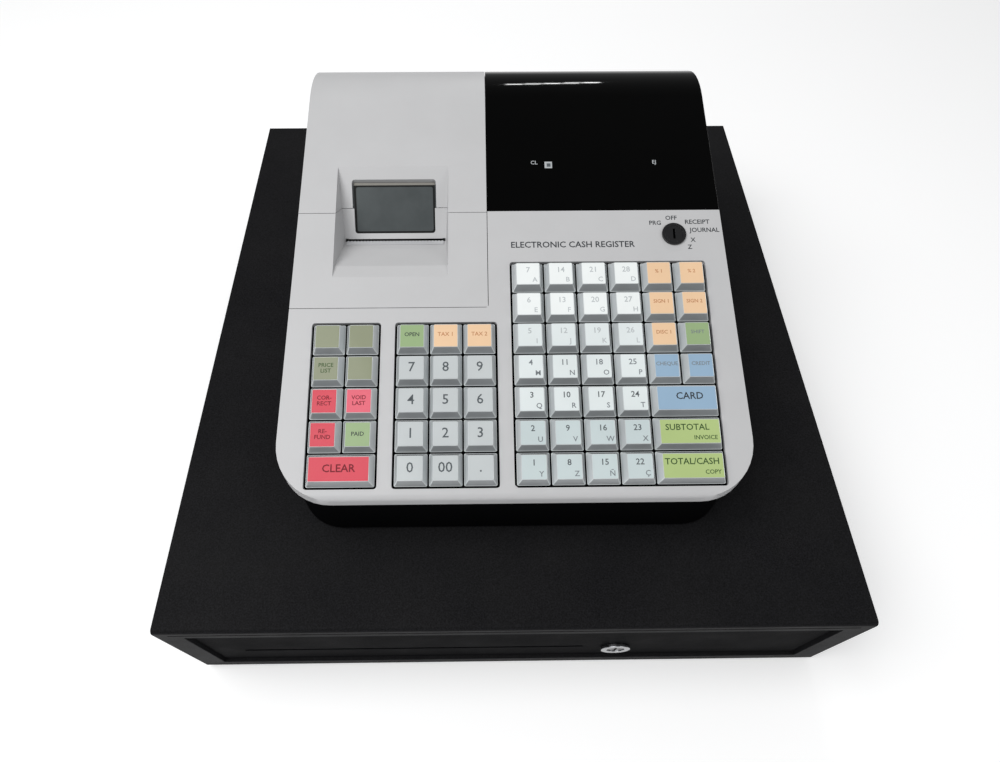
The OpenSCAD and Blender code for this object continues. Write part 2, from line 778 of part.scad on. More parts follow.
// The plate itself, with a square hole for each stem
module key_plate_sheet() {
    low = plate_n - plate_t;
    right_end = right_x + right_keys * key_pitch + plate_edge;
    difference() {
        on_deck() union() {
            block([left_x - plate_edge, -plate_edge - 0.8, low], [right_x, short_s + plate_edge, plate_n]);
            block([right_x - plate_edge, -plate_edge - 0.8, low], [right_end, long_s + plate_edge, plate_n]);
        }
        on_deck() for (c = cells()) translate([c[0] + c[2] * key_pitch / 2, c[1] + key_pitch / 2, 0])
            block([-stem_w(c[2]) / 2 - stem_gap, -stem / 2 - stem_gap, low - 1],
                [stem_w(c[2]) / 2 + stem_gap, stem / 2 + stem_gap, plate_n + 1]);
    }
}

// A low wall round each block, up to the underside of the deck
module key_plate_rims() {
    difference() {
        key_openings(opening_gap + 1.1, plate_n - eps, -wall);
        key_openings(opening_gap, plate_n - 1, 1);
    }
}

// The posts that hold the keyboard's circuit board
module key_plate_posts() {
    left_gap_x = left_x + left_keys * key_pitch + block_gap / 2;
    right_gap_x = right_x - block_gap / 2;
    mid_key_x = right_x + 3 * key_pitch;
    posts = [[left_gap_x, 6], [left_gap_x, short_s - 6], [right_gap_x, 6], [right_gap_x, short_s - 6],
        [mid_key_x, long_s + 0.4], [mid_key_x, key_pitch]];
    on_deck() for (p = posts) translate([p[0], p[1], board_n])
        cylinder(r = 1.5, h = plate_n - plate_t - board_n + eps);
}

// A key: a bevelled cap over cols cells of a block, on a square stem
module key(x, s, cols = 1) {
    w = cols * key_pitch - key_gap;
    d = key_pitch - key_gap;
    cut = (d - key_top) / 2;
    on_deck() translate([x + cols * key_pitch / 2, s + key_pitch / 2, 0]) {
        intersection() {
            translate([0, d / 2, 0]) rotate([90, 0, 0]) linear_extrude(d) polygon([[-w / 2, key_low],
                [w / 2, key_low], [w / 2 - cut, key_h], [-w / 2 + cut, key_h]]);
            along_x(-w / 2, w / 2) polygon([[-d / 2, key_low], [d / 2, key_low],
                [d / 2 - cut, key_h], [-d / 2 + cut, key_h]]);
        }
        block([-stem_w(cols) / 2, -stem / 2, board_n + key_travel + 0.5],
            [stem_w(cols) / 2, stem / 2, key_low + eps]);
    }
}

module number_key(col, row) {
    color(clear_grey) key(middle_x + col * key_pitch, row * key_pitch);
}

module wide_key(x, row, tint) {
    color(tint) key(x, row * key_pitch, 2);
}

module correction_keys() {
    tints = [[0.80, 0.18, 0.25], [0.80, 0.18, 0.25], [0.45, 0.47, 0.33], [0.45, 0.47, 0.33]];
    for (c = [0:left_keys - 1], r = [1:short_rows - 1]) color(tints[r - 1])
        key(left_x + c * key_pitch, r * key_pitch);
}

module tax_keys() {
    tints = [[0.42, 0.60, 0.35], [0.93, 0.70, 0.48], [0.93, 0.70, 0.48]];
    for (c = [0:middle_keys - 1]) color(tints[c])
        key(middle_x + c * key_pitch, (short_rows - 1) * key_pitch);
}

module department_keys(c) {
    color([0.85, 0.88, 0.90]) for (r = [0:long_rows - 1]) key(right_x + c * key_pitch, r * key_pitch);
}

module function_keys(c) {
    tints = [[0.45, 0.65, 0.80], [0.93, 0.70, 0.48], [0.93, 0.70, 0.48], [0.93, 0.70, 0.48]];
    for (r = [3:long_rows - 1]) color(tints[r - 3])
        key(right_x + c * key_pitch, r * key_pitch);
}

// ---- Register: printer, displays, boards and power ----

module paper_window() {
    color([0.42, 0.48, 0.44]) on_floor() block([-window_w / 2 - 0.6, -window_low - 0.4, -pane_sunk - pane_t],
        [window_w / 2 + 0.6, -window_top - window_bevel + 0.6, -pane_sunk]);
}

// A strip on the ramp below the slot, with its teeth towards the slot
module tear_bar() {
    teeth = 30;
    step = (paper_slot_w + 0.8) / teeth;
    color([0.72, 0.73, 0.75]) on_deck() translate([recess_x, slot_s, -recess_d])
        rotate([-ramp_tilt, 0, 0]) linear_extrude(0.8) polygon(concat(
            [[paper_slot_w / 2 + 0.4, -5.2], [-paper_slot_w / 2 - 0.4, -5.2]],
            [for (i = [0:2 * teeth]) [-paper_slot_w / 2 - 0.4 + i * step / 2, i % 2 == 0 ? -1.6 : -0.5]]));
}

module gear_outline(teeth) {
    pitch_r = gear_module * teeth / 2;
    polygon([for (i = [0:teeth - 1], p = [[-0.30, -1.15], [-0.13, 0.9], [0.13, 0.9], [0.30, -1.15]])
        let (a = 360 * (i + p[0]) / teeth, r = pitch_r + p[1] * gear_module) [r * cos(a), r * sin(a)]]);
}

module print_mechanism() {
    color([0.20, 0.20, 0.22]) {
        difference() {
            union() {
                for (x = [frame_x0, frame_x1 - frame_t])
                    block([x, frame_y0, frame_low], [x + frame_t, frame_y1, frame_top]);
                block([frame_x0, frame_y0, frame_low], [frame_x1, frame_y1, frame_low + 2]);
            }
            rod_x(shaft_r + run_gap, frame_x0 - 1, frame_x1 + 1, platen_y, platen_z);
            rod_x(shaft_r - 0.4, frame_x0 - 1, frame_x0 + frame_t + 1, motor_y, motor_z);
        }
        rod_x(motor_r, frame_x0 + frame_t, frame_x0 + frame_t + 18, motor_y, motor_z);
        block([frame_x0 + frame_t - eps, platen_y - platen_r - 4.9, platen_z - 12],
            [frame_x1 - frame_t + eps, platen_y - platen_r - 0.4, platen_z + 5]);
    }
}

module platen_roller() {
    color([0.10, 0.10, 0.10]) {
        rod_x(platen_r, recess_x - roll_w / 2 - 1, recess_x + roll_w / 2 + 1, platen_y, platen_z);
        rod_x(shaft_r, frame_x0 - gear_t - 2, frame_x1 + 2, platen_y, platen_z);
        translate([frame_x0 - gear_t - 1, platen_y, platen_z]) rotate([90, 0, 90])
            linear_extrude(gear_t) gear_outline(platen_teeth);
    }
}

module motor_pinion() {
    // The pinion is turned by half a tooth from the line of centres, so that it meshes
    line = atan2(platen_z - motor_z, platen_y - motor_y);
    turn = line + 180 / pinion_teeth + (line - 180) * platen_teeth / pinion_teeth;
    color([0.85, 0.83, 0.76]) {
        translate([frame_x0 - gear_t - 1, motor_y, motor_z]) rotate([90, 0, 90])
            rotate([0, 0, turn]) linear_extrude(gear_t) gear_outline(pinion_teeth);
        rod_x(shaft_r - 0.5, frame_x0 - gear_t - 1, frame_x0 + frame_t - 0.1, motor_y, motor_z);
    }
}

module paper_roll() {
    color([0.93, 0.93, 0.90]) difference() {
        rod_x(roll_r, recess_x - roll_w / 2, recess_x + roll_w / 2, roll_y, roll_z);
        rod_x(spindle_r + run_gap, recess_x - roll_w, recess_x + roll_w, roll_y, roll_z);
    }
}

module paper_cradle() {
    r = roll_r + cradle_gap;
    x0 = recess_x - roll_w / 2 - 2.5;
    x1 = recess_x + roll_w / 2 + 2.5;
    color([0.16, 0.16, 0.17]) {
        rod_x(spindle_r, x0 - frame_t + eps, x1 + frame_t - eps, roll_y, roll_z);
        difference() {
            rod_x(r + frame_t, x0, x1, roll_y, roll_z);
            rod_x(r, x0 - 1, x1 + 1, roll_y, roll_z);
            block([x0 - 1, roll_y - 2 * r, roll_z], [x1 + 1, roll_y + 2 * r, roll_z + 2 * r]);
        }
        for (x = [x0 - frame_t, x1]) block([x, roll_y - r - frame_t, floor_z],
            [x + frame_t, roll_y + r + frame_t, roll_z + spindle_r + 2]);
    }
}

module circuit_boards() {
    color(board_green) {
        translate([45, main_board_y, main_board_z]) {
            block([-main_board_w / 2, -main_board_d / 2, 0], [main_board_w / 2, main_board_d / 2, board_t]);
            for (c = [[-30, -20, 22, 22, 3], [15, -28, 14, 30, 3], [40, 20, 12, 12, 8], [-45, 25, 20, 12, 6]])
                translate([c[0], c[1], board_t - eps]) cube([c[2], c[3], c[4]]);
        }
        on_deck() block([left_x, 0, board_n - board_t],
            [right_x + right_keys * key_pitch, short_s + plate_edge, board_n]);
        on_deck() block([right_x - plate_edge, short_s, board_n - board_t],
            [right_x + right_keys * key_pitch, long_s + plate_edge, board_n]);
    }
}

module display_modules() {
    mid_x = (module_x + reg_w / 2 - case_taper * reg_depth) / 2;
    back_y = reg_back - wall;
    back_z = crest_c[1] + 2;
    color([0.25, 0.45, 0.40]) {
        on_deck() {
            block([mid_x - 52, window_s + 20, -wall - 12], [mid_x + 52, window_s + 52, -wall - 5]);
            for (x = [mid_x - 47, mid_x + 47], s = [window_s + 25, window_s + 47])
                translate([x, s, -wall - 5 - eps]) cylinder(r = 2, h = 5);
        }
        block([mid_x - 35, back_y - 12, back_z - 8], [mid_x + 35, back_y - 5, back_z + 8]);
        for (x = [mid_x - 30, mid_x + 30]) rod_y(2, back_y - 5 - eps, back_y, x, back_z - 5);
    }
}

module transformer() {
    y = reg_back - 52;
    color([0.30, 0.30, 0.32]) {
        block([38, y - 19, floor_z], [98, y + 19, floor_z + 2]);
        block([45, y - 17, floor_z + 1], [91, y + 17, floor_z + 41]);
        block([52, y - 25, floor_z + 8], [84, y + 25, floor_z + 34]);
    }
}

module power_inlet() {
    back = reg_back - lower_inset;
    color([0.05, 0.05, 0.05]) difference() {
        union() {
            block([inlet_x - inlet_w / 2, back - 16, inlet_z - inlet_h / 2],
                [inlet_x + inlet_w / 2, back + eps, inlet_z + inlet_h / 2]);
            block([inlet_x - inlet_w / 2 - 2, back, inlet_z - inlet_h / 2 - 2],
                [inlet_x + inlet_w / 2 + 2, back + 1.2, inlet_z + inlet_h / 2 + 2]);
        }
        for (x = [-5.5, 5.5]) rod_y(5.4, back - 12, back + 5, inlet_x + x, inlet_z);
    }
}

module mode_lock_barrel() {
    color([0.08, 0.08, 0.09]) on_deck() translate([mode_x, lock_s, 0]) difference() {
        union() {
            cylinder(r = mode_r, h = 1.4);
            translate([0, 0, -18]) cylinder(r = mode_body_r, h = 18 + eps);
            translate([0, 0, -wall - 3]) cylinder(r = mode_r + 1.5, h = 3);
        }
        translate([0, 0, -20]) cylinder(r = mode_plug_r + run_gap, h = 30);
    }
}

module mode_lock_rotor() {
    color([0.13, 0.13, 0.14]) on_deck() translate([mode_x, lock_s, 0]) difference() {
        union() {
            translate([0, 0, -19.5]) cylinder(r = mode_plug_r, h = 20.6);
            block([-2, -mode_r - 2, -21], [2, 3, -19.4]);
        }
        block([-0.7, -3.4, -6], [0.7, 3.4, 3]);
    }
}

drawer_case();
rubber_feet();
drawer_rails();
drawer_box();
drawer_front();
drawer_lock_barrel();
drawer_lock_rotor();
note_tray();
coin_tray();
note_clip(0);  // note_clip_1
note_clip(1);  // note_clip_2
note_clip(2);  // note_clip_3
note_clip(3);  // note_clip_4
latch_solenoid();
latch_hook();
ejector_spring();
lower_case();
upper_case();
key_plate();
circuit_boards();
display_window();
display_modules();
printer_cover();
paper_window();
tear_bar();
paper_lid();
print_mechanism();
platen_roller();
motor_pinion();
paper_roll();
paper_cradle();
transformer();
power_inlet();
case_screws();
mode_lock_barrel();
mode_lock_rotor();
number_key(0, 0);  // key_0
number_key(1, 0);  // key_00
number_key(2, 0);  // key_point
number_key(0, 1);  // key_1
number_key(1, 1);  // key_2
number_key(2, 1);  // key_3
number_key(0, 2);  // key_4
number_key(1, 2);  // key_5
number_key(2, 2);  // key_6
number_key(0, 3);  // key_7
number_key(1, 3);  // key_8
number_key(2, 3);  // key_9
wide_key(left_x, 0, [0.85, 0.25, 0.30]);  // key_clear
wide_key(right_x + 4 * key_pitch, 2, [0.45, 0.65, 0.80]);  // key_card
wide_key(right_x + 4 * key_pitch, 1, [0.55, 0.70, 0.40]);  // key_subtotal
wide_key(right_x + 4 * key_pitch, 0, [0.55, 0.70, 0.40]);  // key_total
correction_keys();
tax_keys();
department_keys(0);  // department_keys_1
department_keys(1);  // department_keys_2
department_keys(2);  // department_keys_3
department_keys(3);  // department_keys_4
function_keys(4);  // function_keys_1
function_keys(5);  // function_keys_2
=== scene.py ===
# %% [markdown]
# # An electronic cash register on its cash drawer
#
# The real object is a light grey plastic register that stands on a wide black steel drawer.
# Its frame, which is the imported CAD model, gives every size and every moving body. This lesson
# dresses that frame: rounded shells, clear keytops with coloured inserts, printed legends,
# and finishes made from shader nodes.

# %% Load the frame
import json
import math

import bmesh
import bpy
from mathutils import Matrix, Vector


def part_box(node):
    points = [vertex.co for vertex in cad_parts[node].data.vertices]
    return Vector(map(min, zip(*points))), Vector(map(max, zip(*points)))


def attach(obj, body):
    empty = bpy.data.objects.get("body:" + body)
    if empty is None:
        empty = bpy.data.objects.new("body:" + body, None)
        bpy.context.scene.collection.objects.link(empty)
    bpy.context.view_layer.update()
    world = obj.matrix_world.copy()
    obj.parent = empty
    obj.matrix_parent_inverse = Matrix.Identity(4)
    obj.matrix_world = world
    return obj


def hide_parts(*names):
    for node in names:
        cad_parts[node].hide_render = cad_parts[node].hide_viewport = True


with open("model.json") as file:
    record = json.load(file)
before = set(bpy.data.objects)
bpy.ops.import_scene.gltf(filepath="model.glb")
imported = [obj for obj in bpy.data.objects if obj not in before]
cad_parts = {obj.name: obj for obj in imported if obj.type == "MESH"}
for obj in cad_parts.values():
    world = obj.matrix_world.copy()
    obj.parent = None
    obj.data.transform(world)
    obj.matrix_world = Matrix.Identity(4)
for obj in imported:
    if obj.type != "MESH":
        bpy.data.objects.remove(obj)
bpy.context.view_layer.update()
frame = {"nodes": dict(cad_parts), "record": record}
MM = 0.001

# %% [markdown]
# ## Camera, floor and light
#
# The camera stands close over the register and looks down at the keys with a wide lens, which is
# why the drawer widens so much towards the front. The floor and the lights are those of a plain
# studio: one large soft lamp above on the left, a weak one on the right, and a row of narrow
# strips behind that draw a broken bright line on the curved display window. The floor gives off a
# little light of its own, so that it stays near white.

# %% Camera
def turned(axis, degrees):
    return Matrix.Rotation(math.radians(degrees), 4, axis)


bpy.ops.object.select_all(action="DESELECT")
bpy.ops.object.camera_add()
camera = bpy.context.object
camera.name = "camera"
camera.matrix_world = (Matrix.Translation((-0.0209, -0.3102, 0.4676))
                       @ turned("Z", -0.94) @ turned("X", 30.30) @ turned("Z", 0.26))
camera.data.lens = 23.56
camera.data.sensor_width = 36
camera.data.shift_x = 0.0176
camera.data.shift_y = 0.0468
camera.data.clip_start = 0.01
scene = bpy.context.scene
scene.camera = camera
scene.view_settings.view_transform = "Standard"
print("camera at", [round(v, 4) for v in camera.matrix_world.translation])


# %% [markdown]
# The light could come from one picture of a studio wrapped round the scene, but then every part
# of it would have to be taken as it is. Lamps can be placed one by one. A large lamp gives soft
# shadows and a small one gives a sharp glint, so the size of each lamp matters as much as its
# power.

# %% Floor and lights
def plain_material(name, colour, roughness):
    made = bpy.data.materials.new(name)
    made.use_nodes = True
    shader = made.node_tree.nodes["Principled BSDF"]
    shader.inputs["Base Color"].default_value = (*colour, 1)
    shader.inputs["Roughness"].default_value = roughness
    return made


def lamp(name, place, aim, size, watts):
    bpy.ops.object.light_add(type="AREA", location=place)
    made = bpy.context.object
    made.name = name
    made.data.shape = "RECTANGLE"
    made.data.size, made.data.size_y = size
    made.data.energy = watts
    made.rotation_euler = (Vector(aim) - Vector(place)).to_track_quat("-Z", "Y").to_euler()
    return made


bpy.ops.mesh.primitive_plane_add(size=24)
floor = bpy.context.object
floor.name = "floor"
floor.data.materials.append(plain_material("floor_paper", (0.96, 0.96, 0.96), 0.9))
floor_shader = floor.data.materials[0].node_tree.nodes["Principled BSDF"]
floor_shader.inputs["Emission Color"].default_value = (1, 1, 1, 1)
floor_shader.inputs["Emission Strength"].default_value = 0.2
world = bpy.data.worlds.new("studio")
world.use_nodes = True
world.node_tree.nodes["Background"].inputs["Color"].default_value = (0.98, 0.99, 1, 1)
world.node_tree.nodes["Background"].inputs["Strength"].default_value = 0.32
scene.world = world
lamp("lamp_above", (-0.75, -0.35, 1.5), (0, 0, 0.1), (1.2, 1.2), 19)
lamp("lamp_right", (1.2, -0.7, 1.2), (0, 0, 0.1), (0.8, 0.8), 4)
for i in range(5):
    lamp(f"strip_{i}", (0.09 + 0.05 * i, 1.35, 1.12 - 0.03 * i), (0, 0.1, 0.15),
         (0.045, 0.07 + 0.05 * (i % 2)), 0.5)

# %% [markdown]
# ## Shared effects
#
# Several finishes need the same effects, so each effect is one node group: the fine grain of a
# mould or a coat of powder, the wear along edges, the dust on faces that look up, and the fine
# lines of rolled steel. A group gives out only masks and heights. Each material then decides what
# to do with them. The same nodes could be copied into every material, but then a change would
# have to be made in each copy. All the groups read object coordinates, which are metres here, so
# a grain size is a real size.

# %% Helpers for node groups
def new_group(name, inputs, outputs):
    tree = bpy.data.node_groups.new(name, "ShaderNodeTree")
    for label, value in inputs.items():
        tree.interface.new_socket(label, in_out="INPUT", socket_type="NodeSocketFloat").default_value = value
    for label in outputs:
        tree.interface.new_socket(label, in_out="OUTPUT", socket_type="NodeSocketFloat")
    return tree, tree.nodes.new("NodeGroupInput"), tree.nodes.new("NodeGroupOutput")


def add(tree, kind, links=None, **settings):
    """Adds a node, sets its settings, and fills its inputs with links or plain values"""
    made = tree.nodes.new(kind)
    for label, value in settings.items():
        setattr(made, label, value)
    for label, value in (links or {}).items():
        if isinstance(value, bpy.types.NodeSocket):
            tree.links.new(value, made.inputs[label])
        else:
            made.inputs[label].default_value = value
    return made


def remap(tree, value, low, high, to_low=0.0, to_high=1.0):
    return add(tree, "ShaderNodeMapRange", {"Value": value, "From Min": low, "From Max": high,
                                            "To Min": to_low, "To Max": to_high}).outputs["Result"]


def multiply(tree, a, b):
    return add(tree, "ShaderNodeMath", {0: a, 1: b}, operation="MULTIPLY").outputs[0]


# %% [markdown]
# **Grain.** A mould is etched so that the plastic looks dull, and powder coat melts into small
# round bumps. Both are a fine cell pattern over a softer, wider unevenness.

# %% The grain group
grain_group, g_in, g_out = new_group("surface_grain", {"Cells per metre": 2500.0}, ["Height", "Mottle"])
coords = add(grain_group, "ShaderNodeTexCoord").outputs["Object"]
cells = g_in.outputs["Cells per metre"]
bumps = add(grain_group, "ShaderNodeTexVoronoi", {"Vector": coords, "Scale": cells}, feature="SMOOTH_F1")
fine = add(grain_group, "ShaderNodeTexNoise", {"Vector": coords, "Scale": cells, "Detail": 2.0})
height = add(grain_group, "ShaderNodeMath", {0: bumps.outputs["Distance"], 1: fine.outputs["Fac"]},
             operation="ADD")
grain_group.links.new(multiply(grain_group, height.outputs[0], 0.5), g_out.inputs["Height"])
wide = add(grain_group, "ShaderNodeTexNoise",
           {"Vector": coords, "Scale": 28.0, "Detail": 4.0, "Roughness": 0.6})
grain_group.links.new(remap(grain_group, wide.outputs["Fac"], 0.3, 0.7), g_out.inputs["Mottle"])

# %% [markdown]
# **Wear.** Edges that hands and other things rub lose their coat or turn shiny. The Bevel node
# gives a rounded normal near an edge, so the difference from the true normal is an edge mask,
# and a noise breaks it up so that it doesn't look drawn.

# %% The wear group
wear_group, w_in, w_out = new_group("worn_edges", {"Width": 0.0008}, ["Mask"])
coords = add(wear_group, "ShaderNodeTexCoord").outputs["Object"]
rounded = add(wear_group, "ShaderNodeBevel", {"Radius": w_in.outputs["Width"]}, samples=3)
true_normal = add(wear_group, "ShaderNodeNewGeometry").outputs["Normal"]
likeness = add(wear_group, "ShaderNodeVectorMath", {0: rounded.outputs[0], 1: true_normal},
               operation="DOT_PRODUCT")
edge = remap(wear_group, likeness.outputs["Value"], 0.99, 0.75)
patches = add(wear_group, "ShaderNodeTexNoise",
              {"Vector": coords, "Scale": 90.0, "Detail": 5.0, "Roughness": 0.7})
wear_group.links.new(multiply(wear_group, edge, remap(wear_group, patches.outputs["Fac"], 0.42, 0.62)),
                     w_out.inputs["Mask"])

# %% [markdown]
# **Dust.** It settles on faces that look up, in soft patches with a few specks. It could be
# painted on by hand, but the height part of the surface's normal already says which faces look
# up, so a mask made from it works on every piece at once.

# %% The dust group
dust_group, d_in, d_out = new_group("settled_dust", {"Amount": 0.1}, ["Mask"])
coords = add(dust_group, "ShaderNodeTexCoord").outputs["Object"]
facing = add(dust_group, "ShaderNodeNewGeometry").outputs["Normal"]
up = add(dust_group, "ShaderNodeSeparateXYZ", {0: facing}).outputs["Z"]
soft = add(dust_group, "ShaderNodeTexNoise",
           {"Vector": coords, "Scale": 18.0, "Detail": 6.0, "Roughness": 0.65})
specks = add(dust_group, "ShaderNodeTexVoronoi", {"Vector": coords, "Scale": 420.0})
film = multiply(dust_group, remap(dust_group, up, 0.5, 1.0),
                remap(dust_group, soft.outputs["Fac"], 0.35, 0.75))
dots = multiply(dust_group, remap(dust_group, specks.outputs["Distance"], 0.10, 0.05), 0.5)
total = add(dust_group, "ShaderNodeMath", {0: film, 1: multiply(dust_group, dots, film)}, operation="ADD")
dust_group.links.new(multiply(dust_group, total.outputs[0], d_in.outputs["Amount"]), d_out.inputs["Mask"])

# %% [markdown]
# **Rolled lines.** Sheet steel keeps fine lines from the rollers, which run one way. A noise
# that is stretched a hundredfold along X makes them.

# %% The rolled steel group
lines_group, l_in, l_out = new_group("rolled_lines", {"Lines per metre": 3000.0}, ["Height", "Streak"])
coords = add(lines_group, "ShaderNodeTexCoord").outputs["Object"]
drawn = add(lines_group, "ShaderNodeMapping", {"Vector": coords, "Scale": (0.01, 1.0, 1.0)})
lines = add(lines_group, "ShaderNodeTexNoise",
            {"Vector": drawn.outputs[0], "Scale": l_in.outputs["Lines per metre"], "Detail": 3.0})
lines_group.links.new(lines.outputs["Fac"], l_out.inputs["Height"])
bands = add(lines_group, "ShaderNodeTexNoise", {"Vector": drawn.outputs[0], "Scale": 300.0, "Detail": 2.0})
lines_group.links.new(remap(lines_group, bands.outputs["Fac"], 0.3, 0.7), l_out.inputs["Streak"])
print("node groups:", [g.name for g in bpy.data.node_groups])

# %% [markdown]
# ## Finishes
#
# One function makes every finish. It sets the plain values on the Principled shader itself and
# feeds only what changes over the surface: the mottled colour with its wear and dust, the
# roughness, and the bump. Each finish could be built by hand in the shader editor, but there are
# more than forty of them here, and they differ only in their values.

# %% Colours and mixing
def shade(r, g, b):
    """A colour as a paint chart gives it, from 0 to 255, in the linear light that shaders use"""
    return [((c / 255 + 0.055) / 1.055) ** 2.4 if c > 10 else c / 255 / 12.92 for c in (r, g, b)]


def mixed(tree, mask, a, b):
    made = tree.nodes.new("ShaderNodeMix")
    made.data_type = "RGBA"
    tree.links.new(mask, made.inputs["Factor"])
    for socket, colour in ((made.inputs["A"], a), (made.inputs["B"], b)):
        if isinstance(colour, bpy.types.NodeSocket):
            tree.links.new(colour, socket)
        else:
            socket.default_value = (*colour, 1)
    return made.outputs["Result"]


def use(tree, group, **values):
    made = tree.nodes.new("ShaderNodeGroup")
    made.node_tree = group
    for label, value in values.items():
        made.inputs[label.replace("_", " ")].default_value = value
    return made.outputs


# %% [markdown]
# The finish function sets the shader's plain values first. Then it builds the colour in layers: mottle,
# specks of painted highlight, worn edges and dust, each mixed over the one before by its own mask.

# %% The function that makes a finish
SPECKLE = 0.8


def finish(name, colour, roughness, grain=0.4, depth=0.02, mottle=0.08, worn=None, wear_width=0.8,
           dust=0.0, metal=0.0, lines=False, coat=0.0, specular=0.5, alpha=1.0, glint_speckle=None):
    made = bpy.data.materials.new(name)
    made.use_nodes = True
    tree = made.node_tree
    shader = tree.nodes["Principled BSDF"]
    shader.inputs["Metallic"].default_value = metal
    shader.inputs["Coat Weight"].default_value = coat
    shader.inputs["Coat Roughness"].default_value = 0.06
    shader.inputs["Specular IOR Level"].default_value = specular
    shader.inputs["Alpha"].default_value = alpha
    if lines:
        surface = use(tree, lines_group)
        height_out, vary = surface["Height"], surface["Streak"]
    else:
        surface = use(tree, grain_group, Cells_per_metre=1 / (grain * MM))
        height_out, vary = surface["Height"], surface["Mottle"]
    look = mixed(tree, vary, [c * (1 - mottle) for c in colour], [min(1, c * (1 + mottle)) for c in colour])
    rough = remap(tree, vary, 0, 1, roughness * 0.9, min(1, roughness * 1.1))
    # Glint speckle: a lighter colour on the tops of the powder's lumps, a painted highlight.
    if glint_speckle:
        bumps_seen = use(tree, grain_group, Cells_per_metre=1 / (SPECKLE * MM))["Height"]
        look = mixed(tree, remap(tree, bumps_seen, 0.3, 0.62), look, glint_speckle)
    if worn:
        look = mixed(tree, use(tree, wear_group, Width=wear_width * MM)["Mask"], look, worn)
    if dust:
        mask = use(tree, dust_group, Amount=dust)["Mask"]
        look = mixed(tree, mask, look, shade(176, 172, 164))
    tree.links.new(look, shader.inputs["Base Color"])
    tree.links.new(rough, shader.inputs["Roughness"])
    bump = add(tree, "ShaderNodeBump", {"Height": height_out, "Distance": depth * MM, "Strength": 1.0})
    tree.links.new(bump.outputs[0], shader.inputs["Normal"])
    return made


# %% [markdown]
# The case is a light silver-grey moulding with a very fine grain. The drawer wears a black powder
# coat, whose lumps catch the light as specks, and its edges show a little wear. Each finish is
# given its colour, its roughness, the size of its grain in millimetres, and the grain's depth.

# %% The finishes
paint = {
    "case_silver": finish("case_silver", shade(194, 194, 195), 0.46, 0.25, 0.012, 0.02,
                          shade(216, 216, 218), 0.5, dust=0.04),
    "case_black": finish("case_black", shade(7, 7, 8), 0.6, 0.3, 0.02, 0.1, specular=0.03),
    "drawer_black": finish("drawer_black", shade(17, 17, 18), 0.55, 0.55, 0.08, 0.06,
                           shade(44, 44, 46), 0.8, dust=0.008, specular=0.04, glint_speckle=shade(30, 30, 32)),
    # The drawer's front panel takes a darker copy of the drawer's coat, which is painted shade.
    "drawer_front_black": finish("drawer_front_black", shade(10, 10, 11), 0.6, 0.55, 0.08, 0.08,
                                 shade(40, 40, 42), 0.7, specular=0.01, glint_speckle=shade(20, 20, 22)),
    "rubber_black": finish("rubber_black", shade(20, 20, 20), 0.85, 0.6, 0.05, 0.1, dust=0.06, specular=0.2),
    "zinc_steel": finish("zinc_steel", shade(178, 180, 184), 0.36,
                         depth=0.004, mottle=0.1, metal=1, lines=True),
    "clip_steel": finish("clip_steel", shade(196, 197, 200), 0.24,
                         depth=0.003, mottle=0.06, metal=1, lines=True),
    "spring_steel": finish("spring_steel", shade(160, 162, 166), 0.3,
                           depth=0.004, mottle=0.1, metal=1, lines=True),
    "tear_steel": finish("tear_steel", shade(214, 215, 217), 0.4,
                         depth=0.003, mottle=0.06, metal=0.4, lines=True),
    "lock_chrome": finish("lock_chrome", shade(158, 159, 162), 0.22, 1.2, 0.002, 0.04, metal=1),
    "lock_black": finish("lock_black", shade(20, 20, 22), 0.24, 0.8, 0.01, 0.1, shade(60, 60, 60), 0.4),
    "key_slot_dark": finish("key_slot_dark", shade(4, 4, 4), 0.6, 0.5, 0.01, 0.1, specular=0.1),
    "till_plastic": finish("till_plastic", shade(34, 34, 37), 0.5, 0.35, 0.03, 0.1, shade(70, 70, 72), 0.7,
                           dust=0.12, specular=0.35),
}
print("black, steel and till finishes:", len(paint))

# %% [markdown]
# The displays, the mechanism and the keytops come next. The keytops are clear smoky mouldings, so
# they are partly see-through with a glossy coat, over a mid grey core.

